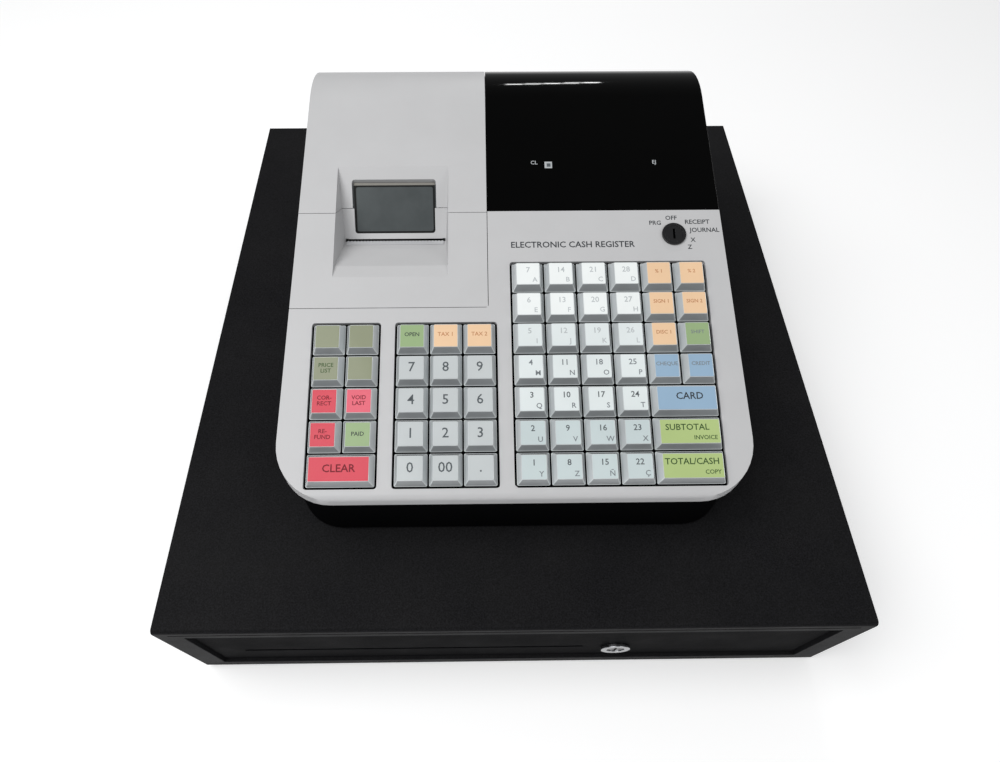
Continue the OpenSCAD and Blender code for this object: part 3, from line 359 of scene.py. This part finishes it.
# %% Finishes of the windows, the mechanism and the keytops
paint |= {
    "board_green": finish("board_green", shade(22, 92, 52), 0.3, 0.8, 0.02, 0.2),
    "window_black": finish("window_black", shade(2, 2, 2), 0.05, 2.0, 0.0015, 0.2, specular=0.07),
    "display_teal": finish("display_teal", shade(60, 104, 96), 0.4, 0.8, 0.02, 0.1),
    "pane_grey": finish("pane_grey", shade(82, 87, 88), 0.25, 2.5, 0.003, 0.18, specular=0.12),
    # The reveal's finish is the case's plastic made darker, painted shade.
    "reveal_painted_shade": finish("reveal_painted_shade", shade(134, 131, 124), 0.5, 0.25, 0.012, 0.05),
    # The gasket's black also serves the black blocks that are painted shade in the slot.
    "gasket_and_shade_black": finish("gasket_and_shade_black", shade(9, 10, 10), 0.5, 0.4, 0.01, 0.1, specular=0.2),
    "mechanism_grey": finish("mechanism_grey", shade(62, 62, 65), 0.5, 0.4, 0.02, 0.1, dust=0.1),
    "pinion_cream": finish("pinion_cream", shade(222, 216, 196), 0.4, 0.5, 0.01, 0.05),
    "paper_white": finish("paper_white", shade(238, 238, 232), 0.8, 0.3, 0.02, 0.03, specular=0.2),
    "core_steel": finish("core_steel", shade(70, 68, 66), 0.5, depth=0.01, mottle=0.2, metal=0.6, lines=True),
    "keytop_clear": finish("keytop_clear", shade(194, 198, 200), 0.14, 1.5, 0.004, 0.1, coat=0.5, alpha=0.62),
    # The side and edge finishes are lighter copies of the clear one: painted light on the keys' left and
    # right faces, and a painted highlight on their rims, feet and corners.
    "keytop_side_lit": finish("keytop_side_lit", shade(224, 229, 231), 0.14, 1.5, 0.004, 0.08, coat=0.5, alpha=0.78),
    "keytop_edge_highlight": finish("keytop_edge_highlight", shade(222, 227, 228), 0.14, 1.5, 0.004, 0.06, coat=0.5, alpha=0.9),
    "key_core": finish("key_core", shade(116, 120, 122), 0.4, 0.5, 0.01, 0.1, specular=0.3),
}


# %% [markdown]
# The inserts are coloured cards and the inks are printed on them. They differ in colour alone, so
# two short loops make them from two lists of colours.

# %% Finishes of the inserts and the inks
def insert_finish(name, *colour):
    paint[name] = finish(name, shade(*colour), 0.42, 0.9, 0.004, 0.03, coat=0.15, specular=0.2)


# The brightest insert and the palest ink are painted glare: they go on the department keys at the back, which
# look washed out by light.
for name, colour in {
    "insert_grey": (196, 201, 202), "insert_blue_grey": (200, 212, 213), "insert_white": (226, 233, 233),
    "insert_glare_white": (240, 244, 243), "insert_red": (212, 68, 84), "insert_pink": (226, 98, 116),
    "insert_olive": (142, 147, 122), "insert_green": (152, 176, 130), "insert_lime": (178, 198, 132),
    "insert_orange": (238, 202, 164), "insert_blue": (150, 178, 202),
}.items():
    insert_finish(name, *colour)
for name, colour in {"ink_dark": (52, 56, 60), "ink_digit": (84, 90, 94), "ink_grey": (124, 130, 134),
                     "ink_red": (112, 22, 34), "ink_green": (58, 84, 44), "ink_brown": (190, 130, 90),
                     "ink_pale": (186, 191, 193), "ink_white": (176, 180, 182)}.items():
    paint[name] = finish(name, shade(*colour), 0.5, 0.3, 0.002, 0.1, specular=0.2)
print("finishes:", len(paint))

# %% [markdown]
# ## Working by hand, in code
#
# The modelling is what you would do in the viewport: add a primitive, go into edit mode, pick
# some faces or edges, and use an operator on them. With no viewport, picking is done by a test on
# each face's or edge's centre and direction. Picking by number would work too, but the numbers
# change as soon as an earlier step changes, and a place stays the same.

# %% Helpers for modelling
def alone(*pieces):
    bpy.ops.object.select_all(action="DESELECT")
    for piece in pieces:
        piece.select_set(True)
    bpy.context.view_layer.objects.active = pieces[0]


def edit(piece):
    alone(piece)
    bpy.ops.object.mode_set(mode="EDIT")


def done():
    bpy.ops.object.mode_set(mode="OBJECT")


def pick(piece, kind, test):
    """Selects the faces or edges whose centre and direction pass the test, and says how many"""
    bpy.ops.mesh.select_mode(type=kind)
    bpy.ops.mesh.select_all(action="DESELECT")
    mesh = bmesh.from_edit_mesh(piece.data)
    count = 0
    for part in mesh.faces if kind == "FACE" else mesh.edges:
        if kind == "FACE":
            centre, way = part.calc_center_median(), part.normal
        else:
            a, b = (v.co for v in part.verts)
            centre, way = (a + b) / 2, (b - a).normalized()
        if test(centre, way):
            part.select_set(True)
            count += 1
    bmesh.update_edit_mesh(piece.data)
    return count


# %% [markdown]
# These make and change whole pieces. Every modifier is applied at once, so that what is left is a
# plain mesh. Live modifiers would be easier to change later, but the next step in edit mode would
# not see the shape that they make.

# %% Helpers for whole pieces
def settle(piece, place=None):
    """Moves a piece's place into its mesh"""
    if place is not None:
        piece.matrix_world = place @ piece.matrix_world
    alone(piece)
    bpy.ops.object.transform_apply(location=True, rotation=True, scale=True)
    return piece


def block(name, size, centre=(0, 0, 0)):
    bpy.ops.object.select_all(action="DESELECT")
    bpy.ops.mesh.primitive_cube_add(size=1, location=[c * MM for c in centre])
    piece = bpy.context.object
    piece.name = name
    piece.scale = [s * MM for s in size]
    return settle(piece)


def modify(piece, kind, **settings):
    alone(piece)
    bpy.ops.object.modifier_add(type=kind)
    modifier = piece.modifiers[-1]
    for label, value in settings.items():
        setattr(modifier, label, value)
    bpy.ops.object.modifier_apply(modifier=modifier.name)


def smooth(piece, degrees=35):
    alone(piece)
    bpy.ops.object.shade_smooth_by_angle(angle=math.radians(degrees))
    modify(piece, "WEIGHTED_NORMAL", keep_sharp=True)


def dress(piece, *names):
    piece.data.materials.clear()
    for name in names:
        piece.data.materials.append(paint[name])


def copy_of(piece, name, place):
    made = bpy.data.objects.new(name, piece.data.copy())
    scene.collection.objects.link(made)
    made.data.transform(place)
    return made


def join(name, pieces):
    alone(*pieces)
    bpy.ops.object.join()
    bpy.context.object.name = name
    return bpy.context.object


# %% [markdown]
# The register's top is a slope. Everything on it is drawn flat, with x across, y up the slope and
# z square to it, and then one matrix carries it onto the slope. Each piece could be turned on its
# own, but one matrix keeps them all in line. Its origin is at the front row of keys, found from
# the frame's own boxes.

# %% The slope
SLOPE = 15.6
FRONT_TO_KEYS = 6
DRAWER_TO_KEYS = 52.7
case_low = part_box("upper_case")[0]
drawer_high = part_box("drawer_case")[1]
slope_start = Vector((0, case_low.y + FRONT_TO_KEYS * MM, drawer_high.z + DRAWER_TO_KEYS * MM))
on_slope = Matrix.Translation(slope_start) @ turned("X", SLOPE)
print("slope starts at", [round(v, 4) for v in on_slope.translation])

# %% [markdown]
# ## The shells
#
# A moulded shell and a folded steel sheet have no perfectly sharp edge, and it is the thin light
# on those edges that makes them look real. A Bevel node in the material could fake the light, but
# the edge's outline would stay sharp. The frame's shells have the right shape with sharp edges,
# so each is copied, its loose triangles are merged into large faces, its edges get a Bevel
# modifier, and a Weighted Normal modifier keeps the large faces flat.

# %% A rounded shell from a CAD node
def slot_of(node):
    return [s["material_slot"] for s in frame["record"]["subparts"] if s["node"] == node][0]


def body_of(node):
    return [b for b, nodes in frame["record"]["behaviour"]["bodies"].items() if node in nodes][0]


def shell_from(node, edge=0.4, segments=2, angle=32, corners=None, work=None, flat=35):
    piece = bpy.data.objects.new(node + "_shell", frame["nodes"][node].data.copy())
    scene.collection.objects.link(piece)
    edit(piece)
    bpy.ops.mesh.select_all(action="SELECT")
    bpy.ops.mesh.remove_doubles(threshold=2e-6)
    bpy.ops.mesh.dissolve_limited(angle_limit=math.radians(0.6))
    done()
    alone(piece)
    bpy.ops.mesh.customdata_custom_splitnormals_clear()
    if work:
        work(piece)
    if corners:
        edit(piece)
        found = pick(piece, "EDGE", corners[0])
        if found:
            bpy.ops.mesh.bevel(offset=corners[1] * MM, segments=4, affect="EDGES")
        done()
        print(" ", node, "corners rounded:", found)
    modify(piece, "BEVEL", width=edge * MM, segments=segments, limit_method="ANGLE",
           angle_limit=math.radians(angle), use_clamp_overlap=True, loop_slide=True)
    smooth(piece, flat)
    dress(piece, slot_of(node))
    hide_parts(node)
    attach(piece, body_of(node))
    print(piece.name, len(piece.data.polygons), "faces on", body_of(node))
    return piece


# %% [markdown]
# The printer's window lies in the tilted floor of a recess, half in the cover and half in the paper
# lid. The frame carries the cover up round the window as a narrow frame. Here that frame is sunk
# and the lid's cut-out is drawn in, so that the lid's own edge borders the window. The paper slot
# is made thinner too. The sinking is a cut with a block, done by a Boolean modifier, which is
# simpler than moving many faces. The other changes only move a few faces.

# %% The recess
RECESS_X, RECESS_TOP, RECESS_DEPTH, SLOT_Y = -71, 200.05, 20, 160.35
window_tilt = math.degrees(math.atan2(RECESS_DEPTH, RECESS_TOP - SLOT_Y))
recess_floor = (on_slope @ Matrix.Translation((RECESS_X * MM, RECESS_TOP * MM, 0))
                @ turned("X", window_tilt))
floor_way = recess_floor.to_3x3() @ Vector((0, 0, 1))
up_floor = recess_floor.to_3x3() @ Vector((0, 1, 0))
WINDOW_SIDE = 25.2
SEAM_Y = -24.72
SUNK = 3.2
SLOT_EDGE_Y, SLOT_THINNER = -42.05, 1.0
LID_SIDE_CAD, LID_SIDE = 27.7, 26.05
LID_TOP_DRAWN_IN = 1.9


def between(low, high):
    return [h - l for l, h in zip(low, high)], [(l + h) / 2 for l, h in zip(low, high)]


def cut_away(piece, low, high, corner=0):
    cutter = block("cutter", *between(low, high))
    if corner:
        edit(cutter)
        pick(cutter, "EDGE", lambda c, way: abs(way.z) > 0.9)
        bpy.ops.mesh.bevel(offset=corner * MM, segments=5, affect="EDGES")
        done()
    settle(cutter, recess_floor)
    modify(piece, "BOOLEAN", operation="DIFFERENCE", solver="EXACT", object=cutter)
    bpy.data.objects.remove(cutter)


def in_floor(centre):
    return (recess_floor.inverted() @ centre) / MM


# %% [markdown]
# The slot's upper face is moved down, and the lid's cut-out is drawn in by moving its side faces
# and its top face. Each face is found by its direction and by its place on the recess floor.

# %% Trimming the cover and the lid
def trim_cover(piece):
    cut_away(piece, (-30, SEAM_Y, -SUNK), (30, 3, 4))
    edit(piece)
    found = pick(piece, "FACE", lambda c, n: n.dot(up_floor) < -0.99
                 and abs(in_floor(c).y - SLOT_EDGE_Y) < 0.1)
    bpy.ops.transform.translate(value=up_floor * -SLOT_THINNER * MM)
    done()
    print("  slot faces moved:", found)


def trim_lid(piece):
    edit(piece)
    for side in (-1, 1):
        found = pick(piece, "FACE", lambda c, n: abs(n.x) > 0.99 and -25 < in_floor(c).y < -5
                     and abs(in_floor(c).x - side * LID_SIDE_CAD) < 0.1)
        bpy.ops.transform.translate(value=(side * (LID_SIDE - LID_SIDE_CAD) * MM, 0, 0))
        print("  lid side faces moved:", found)
    found = pick(piece, "FACE", lambda c, n: n.dot(on_slope.to_3x3() @ Vector((0, 1, 0))) < -0.99
                 and -12 < in_floor(c).y < -5 and abs(in_floor(c).x) < 5)
    bpy.ops.transform.translate(value=up_floor * -LID_TOP_DRAWN_IN * MM)
    print("  lid top faces moved:", found)
    done()


# %% [markdown]
# The openings round the keys have rounded corners, and so has the printer's window. The edges
# that stand square to those faces are picked and bevelled first, with a larger radius than the
# rest, because one Bevel modifier gives all its edges the same width.

# %% Register shells
KEYS_TOP, KEYS_SIDE = 136, 117
MOULDED_CORNER = 1.8
normal = on_slope.to_3x3() @ Vector((0, 0, 1))


def key_corner(centre, way):
    flat = on_slope.inverted() @ centre / MM
    in_field = -3 < flat.z < 0.5 and flat.y < KEYS_TOP and abs(flat.x) < KEYS_SIDE
    return abs(way.dot(normal)) > 0.999 and in_field


def window_corner(centre, way):
    flat = in_floor(centre)
    return abs(way.dot(floor_way)) > 0.999 and abs(abs(flat.x) - WINDOW_SIDE) < 0.3 and flat.y < -30


def lid_corner(centre, way):
    flat = in_floor(centre)
    return abs(way.dot(normal)) > 0.99 and abs(abs(flat.x) - LID_SIDE) < 0.05 and flat.y > -14


shell_from("upper_case", 0.45, corners=(key_corner, MOULDED_CORNER))
shell_from("printer_cover", 0.4, corners=(window_corner, MOULDED_CORNER), work=trim_cover, flat=12)
shell_from("paper_lid", 0.45, corners=(lid_corner, MOULDED_CORNER), work=trim_lid, flat=12)
shell_from("lower_case", 0.5)
shell_from("display_window", 0.35, segments=3)

# %% [markdown]
# The drawer's sheet steel is folded, so its edges are rounder than the plastic's. Most of the pieces
# inside get a smaller rounding, and all of them two segments, which is enough where little is seen.

# %% Drawer shells
shell_from("drawer_case", 0.6, segments=3)
shell_from("drawer_front", 0.9, segments=3)
shell_from("drawer_box", 0.3)
shell_from("note_tray", 0.6)
shell_from("coin_tray", 0.5, angle=40)
for i in range(1, 5):
    shell_from(f"note_clip_{i}", 0.35)
for node in ("rubber_feet", "drawer_lock_barrel", "drawer_lock_rotor", "mode_lock_barrel", "mode_lock_rotor",
             "power_inlet", "tear_bar", "platen_roller", "paper_roll", "transformer", "display_modules",
             "print_mechanism", "paper_cradle"):
    shell_from(node, 0.3)

# %% [markdown]
# ## Keys
#
# Each keytop is a clear smoky moulding with sloping sides, a thin foot round its base, and a flat
# top over a coloured insert that carries the legend. A glass shader would be truer, but it is slow
# and noisy on so many small pieces, so the finish is a partly see-through plastic. A keytop starts
# as a cube. Its top face is drawn in, its foot is a thin band extruded at the base, and its edges
# are bevelled.
# The bevels get a lighter edge finish, a painted highlight where clear plastic gathers light, and the faces
# that look left and right get a lighter side finish, which is painted light. One keytop of each width is
# modelled, and the rest are copies.

# %% One keytop of each width
PITCH = 19.05
GAP = 0.95
TOP = 13.7
BASE_Z, TOP_Z = -1.5, 4.85


def frustum(name, base, top, low, high, corner):
    """A cube whose top face is drawn in, with its sloping corners bevelled"""
    piece = block(name, (*base, high - low), (0, 0, (high + low) / 2))
    edit(piece)
    pick(piece, "FACE", lambda c, n: n.z > 0.9)
    bpy.ops.transform.resize(value=(top[0] / base[0], top[1] / base[1], 1))
    pick(piece, "EDGE", lambda c, way: abs(way.z) > 0.5)
    bpy.ops.mesh.bevel(offset=corner * MM, segments=3, affect="EDGES")
    done()
    return piece


# %% [markdown]
# The keytop's foot and its rim are drawn out of the frustum with extrude and inset, and each face
# gets the material that its place calls for.

# %% Keytops
def keytop(columns):
    wide, deep = columns * PITCH - GAP, PITCH - GAP
    flat = (wide - (deep - TOP), TOP)
    piece = frustum(f"keytop_{columns}", (wide - 0.4, deep - 0.4), flat, BASE_Z + 0.8, TOP_Z, 0.8)
    edit(piece)
    pick(piece, "FACE", lambda c, n: n.z < -0.9)
    bpy.ops.mesh.extrude_region_move(TRANSFORM_OT_translate={"value": (0, 0, 0)})
    bpy.ops.transform.resize(value=(wide / (wide - 0.4), deep / (deep - 0.4), 1))
    bpy.ops.mesh.extrude_region_move(TRANSFORM_OT_translate={"value": (0, 0, -0.8 * MM)})
    pick(piece, "FACE", lambda c, n: n.z > 0.9 and c.z > 4 * MM)
    bpy.ops.mesh.inset(thickness=0.25 * MM)
    bpy.ops.transform.translate(value=(0, 0, -0.15 * MM))
    done()
    modify(piece, "BEVEL", width=0.28 * MM, segments=2, limit_method="ANGLE", angle_limit=math.radians(28))
    smooth(piece, 50)
    dress(piece, "keytop_clear", "keytop_edge_highlight", "key_core", "keytop_side_lit")
    for face in piece.data.polygons:
        rim = face.center.z > 4.55 * MM and abs(face.normal.z) < 0.999
        foot = face.center.z < -0.55 * MM and face.normal.z > -0.5
        corner = abs(face.normal.x) > 0.25 and abs(face.normal.y) > 0.25
        # Faces that look left and right take the lighter side finish, painted light; rims, feet and corners
        # take the edge finish, a painted highlight.
        side = abs(face.normal.x) > 0.7
        face.material_index = 1 if rim or foot or corner else 3 if side else 0
    core = frustum("core", (wide - 2.4, deep - 2.4), (flat[0] - 0.9, flat[1] - 0.9),
                   BASE_Z + 0.1, TOP_Z - 0.9, 0.5)
    smooth(core)
    dress(core, "key_core")
    return join(piece.name, [piece, core])


keytops = {1: keytop(1), 2: keytop(2)}
print("keytop faces:", {n: len(k.data.polygons) for n, k in keytops.items()})


# %% [markdown]
# The insert is a thin card under the clear top of the real key. Here it stands a few hundredths
# of a millimetre proud of the rim, so that nothing lies over its colour and its legend. Its
# corners are cut round.

# %% The inserts
def insert(columns):
    piece = block(f"insert_{columns}", (columns * PITCH - GAP - (PITCH - GAP - TOP) - 0.56, TOP - 0.56, 0.3),
                  (0, 0, TOP_Z - 0.12))
    edit(piece)
    pick(piece, "EDGE", lambda c, way: abs(way.z) > 0.5)
    bpy.ops.mesh.bevel(offset=0.25 * MM, segments=2, affect="EDGES")
    pick(piece, "FACE", lambda c, n: n.z > 0.9)
    bpy.ops.mesh.inset(thickness=0.12 * MM)
    bpy.ops.transform.translate(value=(0, 0, 0.03 * MM))
    done()
    smooth(piece)
    return piece


inserts = {1: insert(1), 2: insert(2)}
INK_Z = TOP_Z - 0.12 + 0.15 + 0.03


# %% [markdown]
# A legend could be a picture laid on the insert, but a text object stays sharp from close by and
# needs no picture. It becomes a mesh before it is carried to its key, because a text's place
# can't be applied. Its thickness is a few hundredths of a millimetre, like printing.

# %% Legends
def legend(words, size, x, y, z, ink, align="CENTER", bold=1.0):
    bpy.ops.object.select_all(action="DESELECT")
    bpy.ops.object.text_add()
    piece = bpy.context.object
    piece.data.body = words
    piece.data.size = size * MM
    piece.data.align_x, piece.data.align_y = align, "CENTER"
    piece.data.resolution_u = 2
    piece.data.extrude = 0.015 * MM
    piece.data.offset = 0.018 * size * MM * bold
    alone(piece)
    bpy.ops.object.convert(target="MESH")
    piece = bpy.context.object
    dress(piece, ink)
    piece.data.transform(on_slope @ Matrix.Translation((x * MM, y * MM, z * MM)))
    return piece


# %% [markdown]
# The keys stand in three blocks. Each key is stated once: its left edge, its row from the front,
# its insert, what is printed on it, and its width in columns. A print is its words, their size,
# their place from the key's centre, their ink, and sometimes how bold they are. The keys that are
# alike come from loops.

# %% The keyboard's table
LEFT = -114.375
MIDDLE = LEFT + 2 * PITCH + 9.6
RIGHT = MIDDLE + 3 * PITCH + 9.6
keys = {}


def key(node, x, row, insert_name, *prints, columns=1):
    keys.setdefault(node, []).append((x, row, columns, insert_name, prints))


for node, digits, column, row in (
        ("key_0", "0", 0, 0), ("key_00", "00", 1, 0), ("key_point", ".", 2, 0), ("key_1", "1", 0, 1),
        ("key_2", "2", 1, 1), ("key_3", "3", 2, 1), ("key_4", "4", 0, 2), ("key_5", "5", 1, 2),
        ("key_6", "6", 2, 2), ("key_7", "7", 0, 3), ("key_8", "8", 1, 3), ("key_9", "9", 2, 3)):
    key(node, MIDDLE + column * PITCH, row, "insert_grey", (digits, 8.0, 0, 0.2, "ink_digit", 0.35))
letters = ["YUQMIEA", "ZVRNJFB", "ÑWSOKGC", "ÇXTPLHD"]
for column, tags in enumerate(letters):
    for row, tag in enumerate(tags):
        number = str(column * 7 + row + 1)
        # The back rows get a paler ink and the two last rows the brightest insert, as painted glare.
        ink = "ink_pale" if row > 3 else "ink_grey"
        key(f"department_keys_{column + 1}", RIGHT + column * PITCH, row,
            ("insert_blue_grey", "insert_blue_grey", "insert_white", "insert_white", "insert_white",
             "insert_glare_white", "insert_glare_white")[row],
            (number, 4.7, 0, 2.3, ink if row > 2 else "ink_digit"), (tag, 4.2, 3.9, -3.9, ink))
key("key_clear", LEFT, 0, "insert_red", ("CLEAR", 6.0, 0, 0.2, "ink_red"), columns=2)
for column, row, tint, words, ink in (
        (0, 1, "insert_red", "RE-\nFUND", "ink_red"), (1, 1, "insert_green", "PAID", "ink_dark"),
        (0, 2, "insert_red", "COR-\nRECT", "ink_red"), (1, 2, "insert_pink", "VOID\nLAST", "ink_red"),
        (0, 3, "insert_olive", "PRICE\nLIST", "ink_green"), (1, 3, "insert_olive", "", "ink_green"),
        (0, 4, "insert_olive", "", "ink_green"), (1, 4, "insert_olive", "", "ink_green")):
    key("correction_keys", LEFT + column * PITCH, row, tint, (words, 3.3, 0, 0.2, ink))
for column, tint, words, ink in (
        (0, "insert_green", "OPEN", "ink_dark"), (1, "insert_orange", "TAX 1", "ink_brown"),
        (2, "insert_orange", "TAX 2", "ink_brown")):
    key("tax_keys", MIDDLE + column * PITCH, 4, tint, (words, 3.3, 0, 0.8, ink))
for node, column, row, tint, words, ink in (
        ("function_keys_1", 4, 3, "insert_blue", "CHEQUE", "ink_grey"),
        ("function_keys_1", 4, 4, "insert_orange", "DISC 1", "ink_brown"),
        ("function_keys_1", 4, 5, "insert_orange", "SIGN 1", "ink_brown"),
        ("function_keys_1", 4, 6, "insert_orange", "% 1", "ink_brown"),
        ("function_keys_2", 5, 3, "insert_blue", "CREDIT", "ink_grey"),
        ("function_keys_2", 5, 4, "insert_green", "SHIFT", "ink_grey"),
        ("function_keys_2", 5, 5, "insert_orange", "SIGN 2", "ink_brown"),
        ("function_keys_2", 5, 6, "insert_orange", "% 2", "ink_brown")):
    key(node, RIGHT + column * PITCH, row, tint, (words, 3.1, 0, 1, ink))
key("key_card", RIGHT + 4 * PITCH, 2, "insert_blue", ("CARD", 5.6, 1.5, 1.0, "ink_dark"), columns=2)
key("key_subtotal", RIGHT + 4 * PITCH, 1, "insert_lime", ("SUBTOTAL", 4.9, -1.5, 2.2, "ink_green"),
    ("INVOICE", 3.3, 8.2, -3.6, "ink_green"), columns=2)
key("key_total", RIGHT + 4 * PITCH, 0, "insert_lime", ("TOTAL/CASH", 4.9, -0.5, 2.2, "ink_green"),
    ("COPY", 3.3, 10.4, -3.6, "ink_green"), columns=2)
print("keys:", sum(len(k) for k in keys.values()), "in", len(keys), "nodes")


# %% [markdown]
# The pieces of a key that move together are joined into one object, which rides on the key's own
# body and stands for the frame's plain key. They could stay separate and ride one by one, but
# one object for each body is easier to find and to pose.

# %% Place the keys
def build_keys(node, rows):
    parts = []
    for x, row, columns, insert_name, prints in rows:
        middle = ((x + columns * PITCH / 2), (row + 0.5) * PITCH)
        place = on_slope @ Matrix.Translation((middle[0] * MM, middle[1] * MM, 0))
        parts.append(copy_of(keytops[columns], "part", place))
        card = copy_of(inserts[columns], "part", place)
        dress(card, insert_name)
        parts.append(card)
        for words, size, dx, dy, ink, *bold in prints:
            if words:
                parts.append(legend(words, size, middle[0] + dx, middle[1] + dy, INK_Z, ink,
                                    bold=bold[0] if bold else 0.7))
    piece = join(node + "_cap", parts)
    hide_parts(node)
    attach(piece, "press_" + node)
    return piece


for node, rows in keys.items():
    build_keys(node, rows)
for pattern in (*keytops.values(), *inserts.values()):
    bpy.data.objects.remove(pattern)

# %% [markdown]
# ## Printing on the case
#
# Round the mode lock are its positions, and above the keys a plain line says what the machine is.
# Two small marks and a square stand on the display window. The words are made by the legend
# function, because they are the same kind of printing as on the keys, and the square is two thin
# blocks.

# %% Case and window printing
words = [legend(w, size, x, y, 0.01, "ink_dark", bold=0.8) for w, size, x, y in (
    ("OFF", 4.0, 97.5, 162.7), ("PRG", 4.0, 87.6, 159.4), ("RECEIPT", 4.1, 113.0, 159.9),
    ("JOURNAL", 4.1, 117.0, 154.4), ("X", 4.0, 109.5, 147.8), ("Z", 4.0, 107.2, 143.1),
    ("ELECTRONIC CASH REGISTER", 5.55, 37.2, 145.2))]
words += [legend(w, 3.6, x, 201.9, 0.01, "ink_white", bold=0.5) for w, x in (("CL", 15.9), ("EJ", 90.3))]
tile = block("tile", (4.6, 4.6, 0.03), (24.7, 200.3, 0.015))
settle(tile, on_slope)
dress(tile, "ink_white")
tile_core = block("tile_core", (2.4, 2.4, 0.04), (24.9, 200.2, 0.03))
settle(tile_core, on_slope)
dress(tile_core, "ink_digit")
words += [tile, tile_core]
printing = join("case_printing", words)
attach(printing, "root")

# %% [markdown]
# The pane is held by a thin black gasket. Above it the cover's edge shows under the lid, as a band of darker
# beige that is painted shade. The slot has a notch at each end, and the gaps between the teeth of the tear
# bar show the slot behind; a black block in each notch and a black strip under the teeth are painted shade
# there, in the gasket's black. Paint could make all of these, but the gasket and the blocks have a thickness
# of their own, so they are thin pieces.

# %% Gasket, and painted shade at the slot ends and teeth
GASKET_X, GASKET_LOW, GASKET_HIGH = 25.15, -39.65, -10.85
HOLE_X, HOLE_LOW, HOLE_HIGH = 24.0, -38.3, -11.7
SLOT_END_X, SLOT_LOW, SLOT_HIGH = 30.4, -45.2, -42.9
RAMP_FOOT_Y, RAMP_FOOT_DEPTH = 133.55, 2.5
gasket = block("gasket_and_slot_shade", *between((-GASKET_X, GASKET_LOW, -2.0), (GASKET_X, GASKET_HIGH, -1.7)))
settle(gasket, recess_floor)
cut_away(gasket, (-HOLE_X, HOLE_LOW, -4), (HOLE_X, HOLE_HIGH, 2), corner=1.4)
dress(gasket, "gasket_and_shade_black")
# Black blocks in the slot's end notches, painted shade.
notch_shades = [block("notch_shade", *between((x - 0.8, SLOT_LOW, -0.6), (x + 0.8, SLOT_HIGH, 0.5)))
           for x in (-SLOT_END_X, SLOT_END_X)]
for notch_shade in notch_shades:
    settle(notch_shade, recess_floor)
    dress(notch_shade, "gasket_and_shade_black")
# A black strip under the tear bar's teeth, painted shade seen through the gaps.
shade_under_teeth = block("shade_under_teeth", *between((-30.2, -1.75, 0.0), (30.2, 0.2, 0.35)))
ramp_tilt = math.degrees(math.atan2(RECESS_DEPTH - RAMP_FOOT_DEPTH, SLOT_Y - RAMP_FOOT_Y))
settle(shade_under_teeth, (on_slope @ Matrix.Translation((RECESS_X * MM, SLOT_Y * MM, -RECESS_DEPTH * MM))
                     @ turned("X", -ramp_tilt)))
dress(shade_under_teeth, "gasket_and_shade_black")
gasket = join("gasket_and_slot_shade", [gasket, *notch_shades, shade_under_teeth])
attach(gasket, body_of("paper_window"))
# The band between the gasket and the lid is cover plastic in a darker beige, painted shade.
reveal = block("pane_reveal", *between((-25.2, -10.8, -3.1), (25.2, -9.3, -2.1)))
settle(reveal, recess_floor)
dress(reveal, "reveal_painted_shade")
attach(reveal, body_of("printer_cover"))

# %% [markdown]
# The nodes that are left are hidden inside or simple enough already, such as the pane. They keep
# the frame's shape and get their finish. A node that a shell stands for is hidden, so it is passed
# over.

# %% Loose CAD nodes that keep their shape
for node, obj in frame["nodes"].items():
    if not obj.hide_render:
        dress(obj, slot_of(node))
        print("kept:", node, "in", slot_of(node))
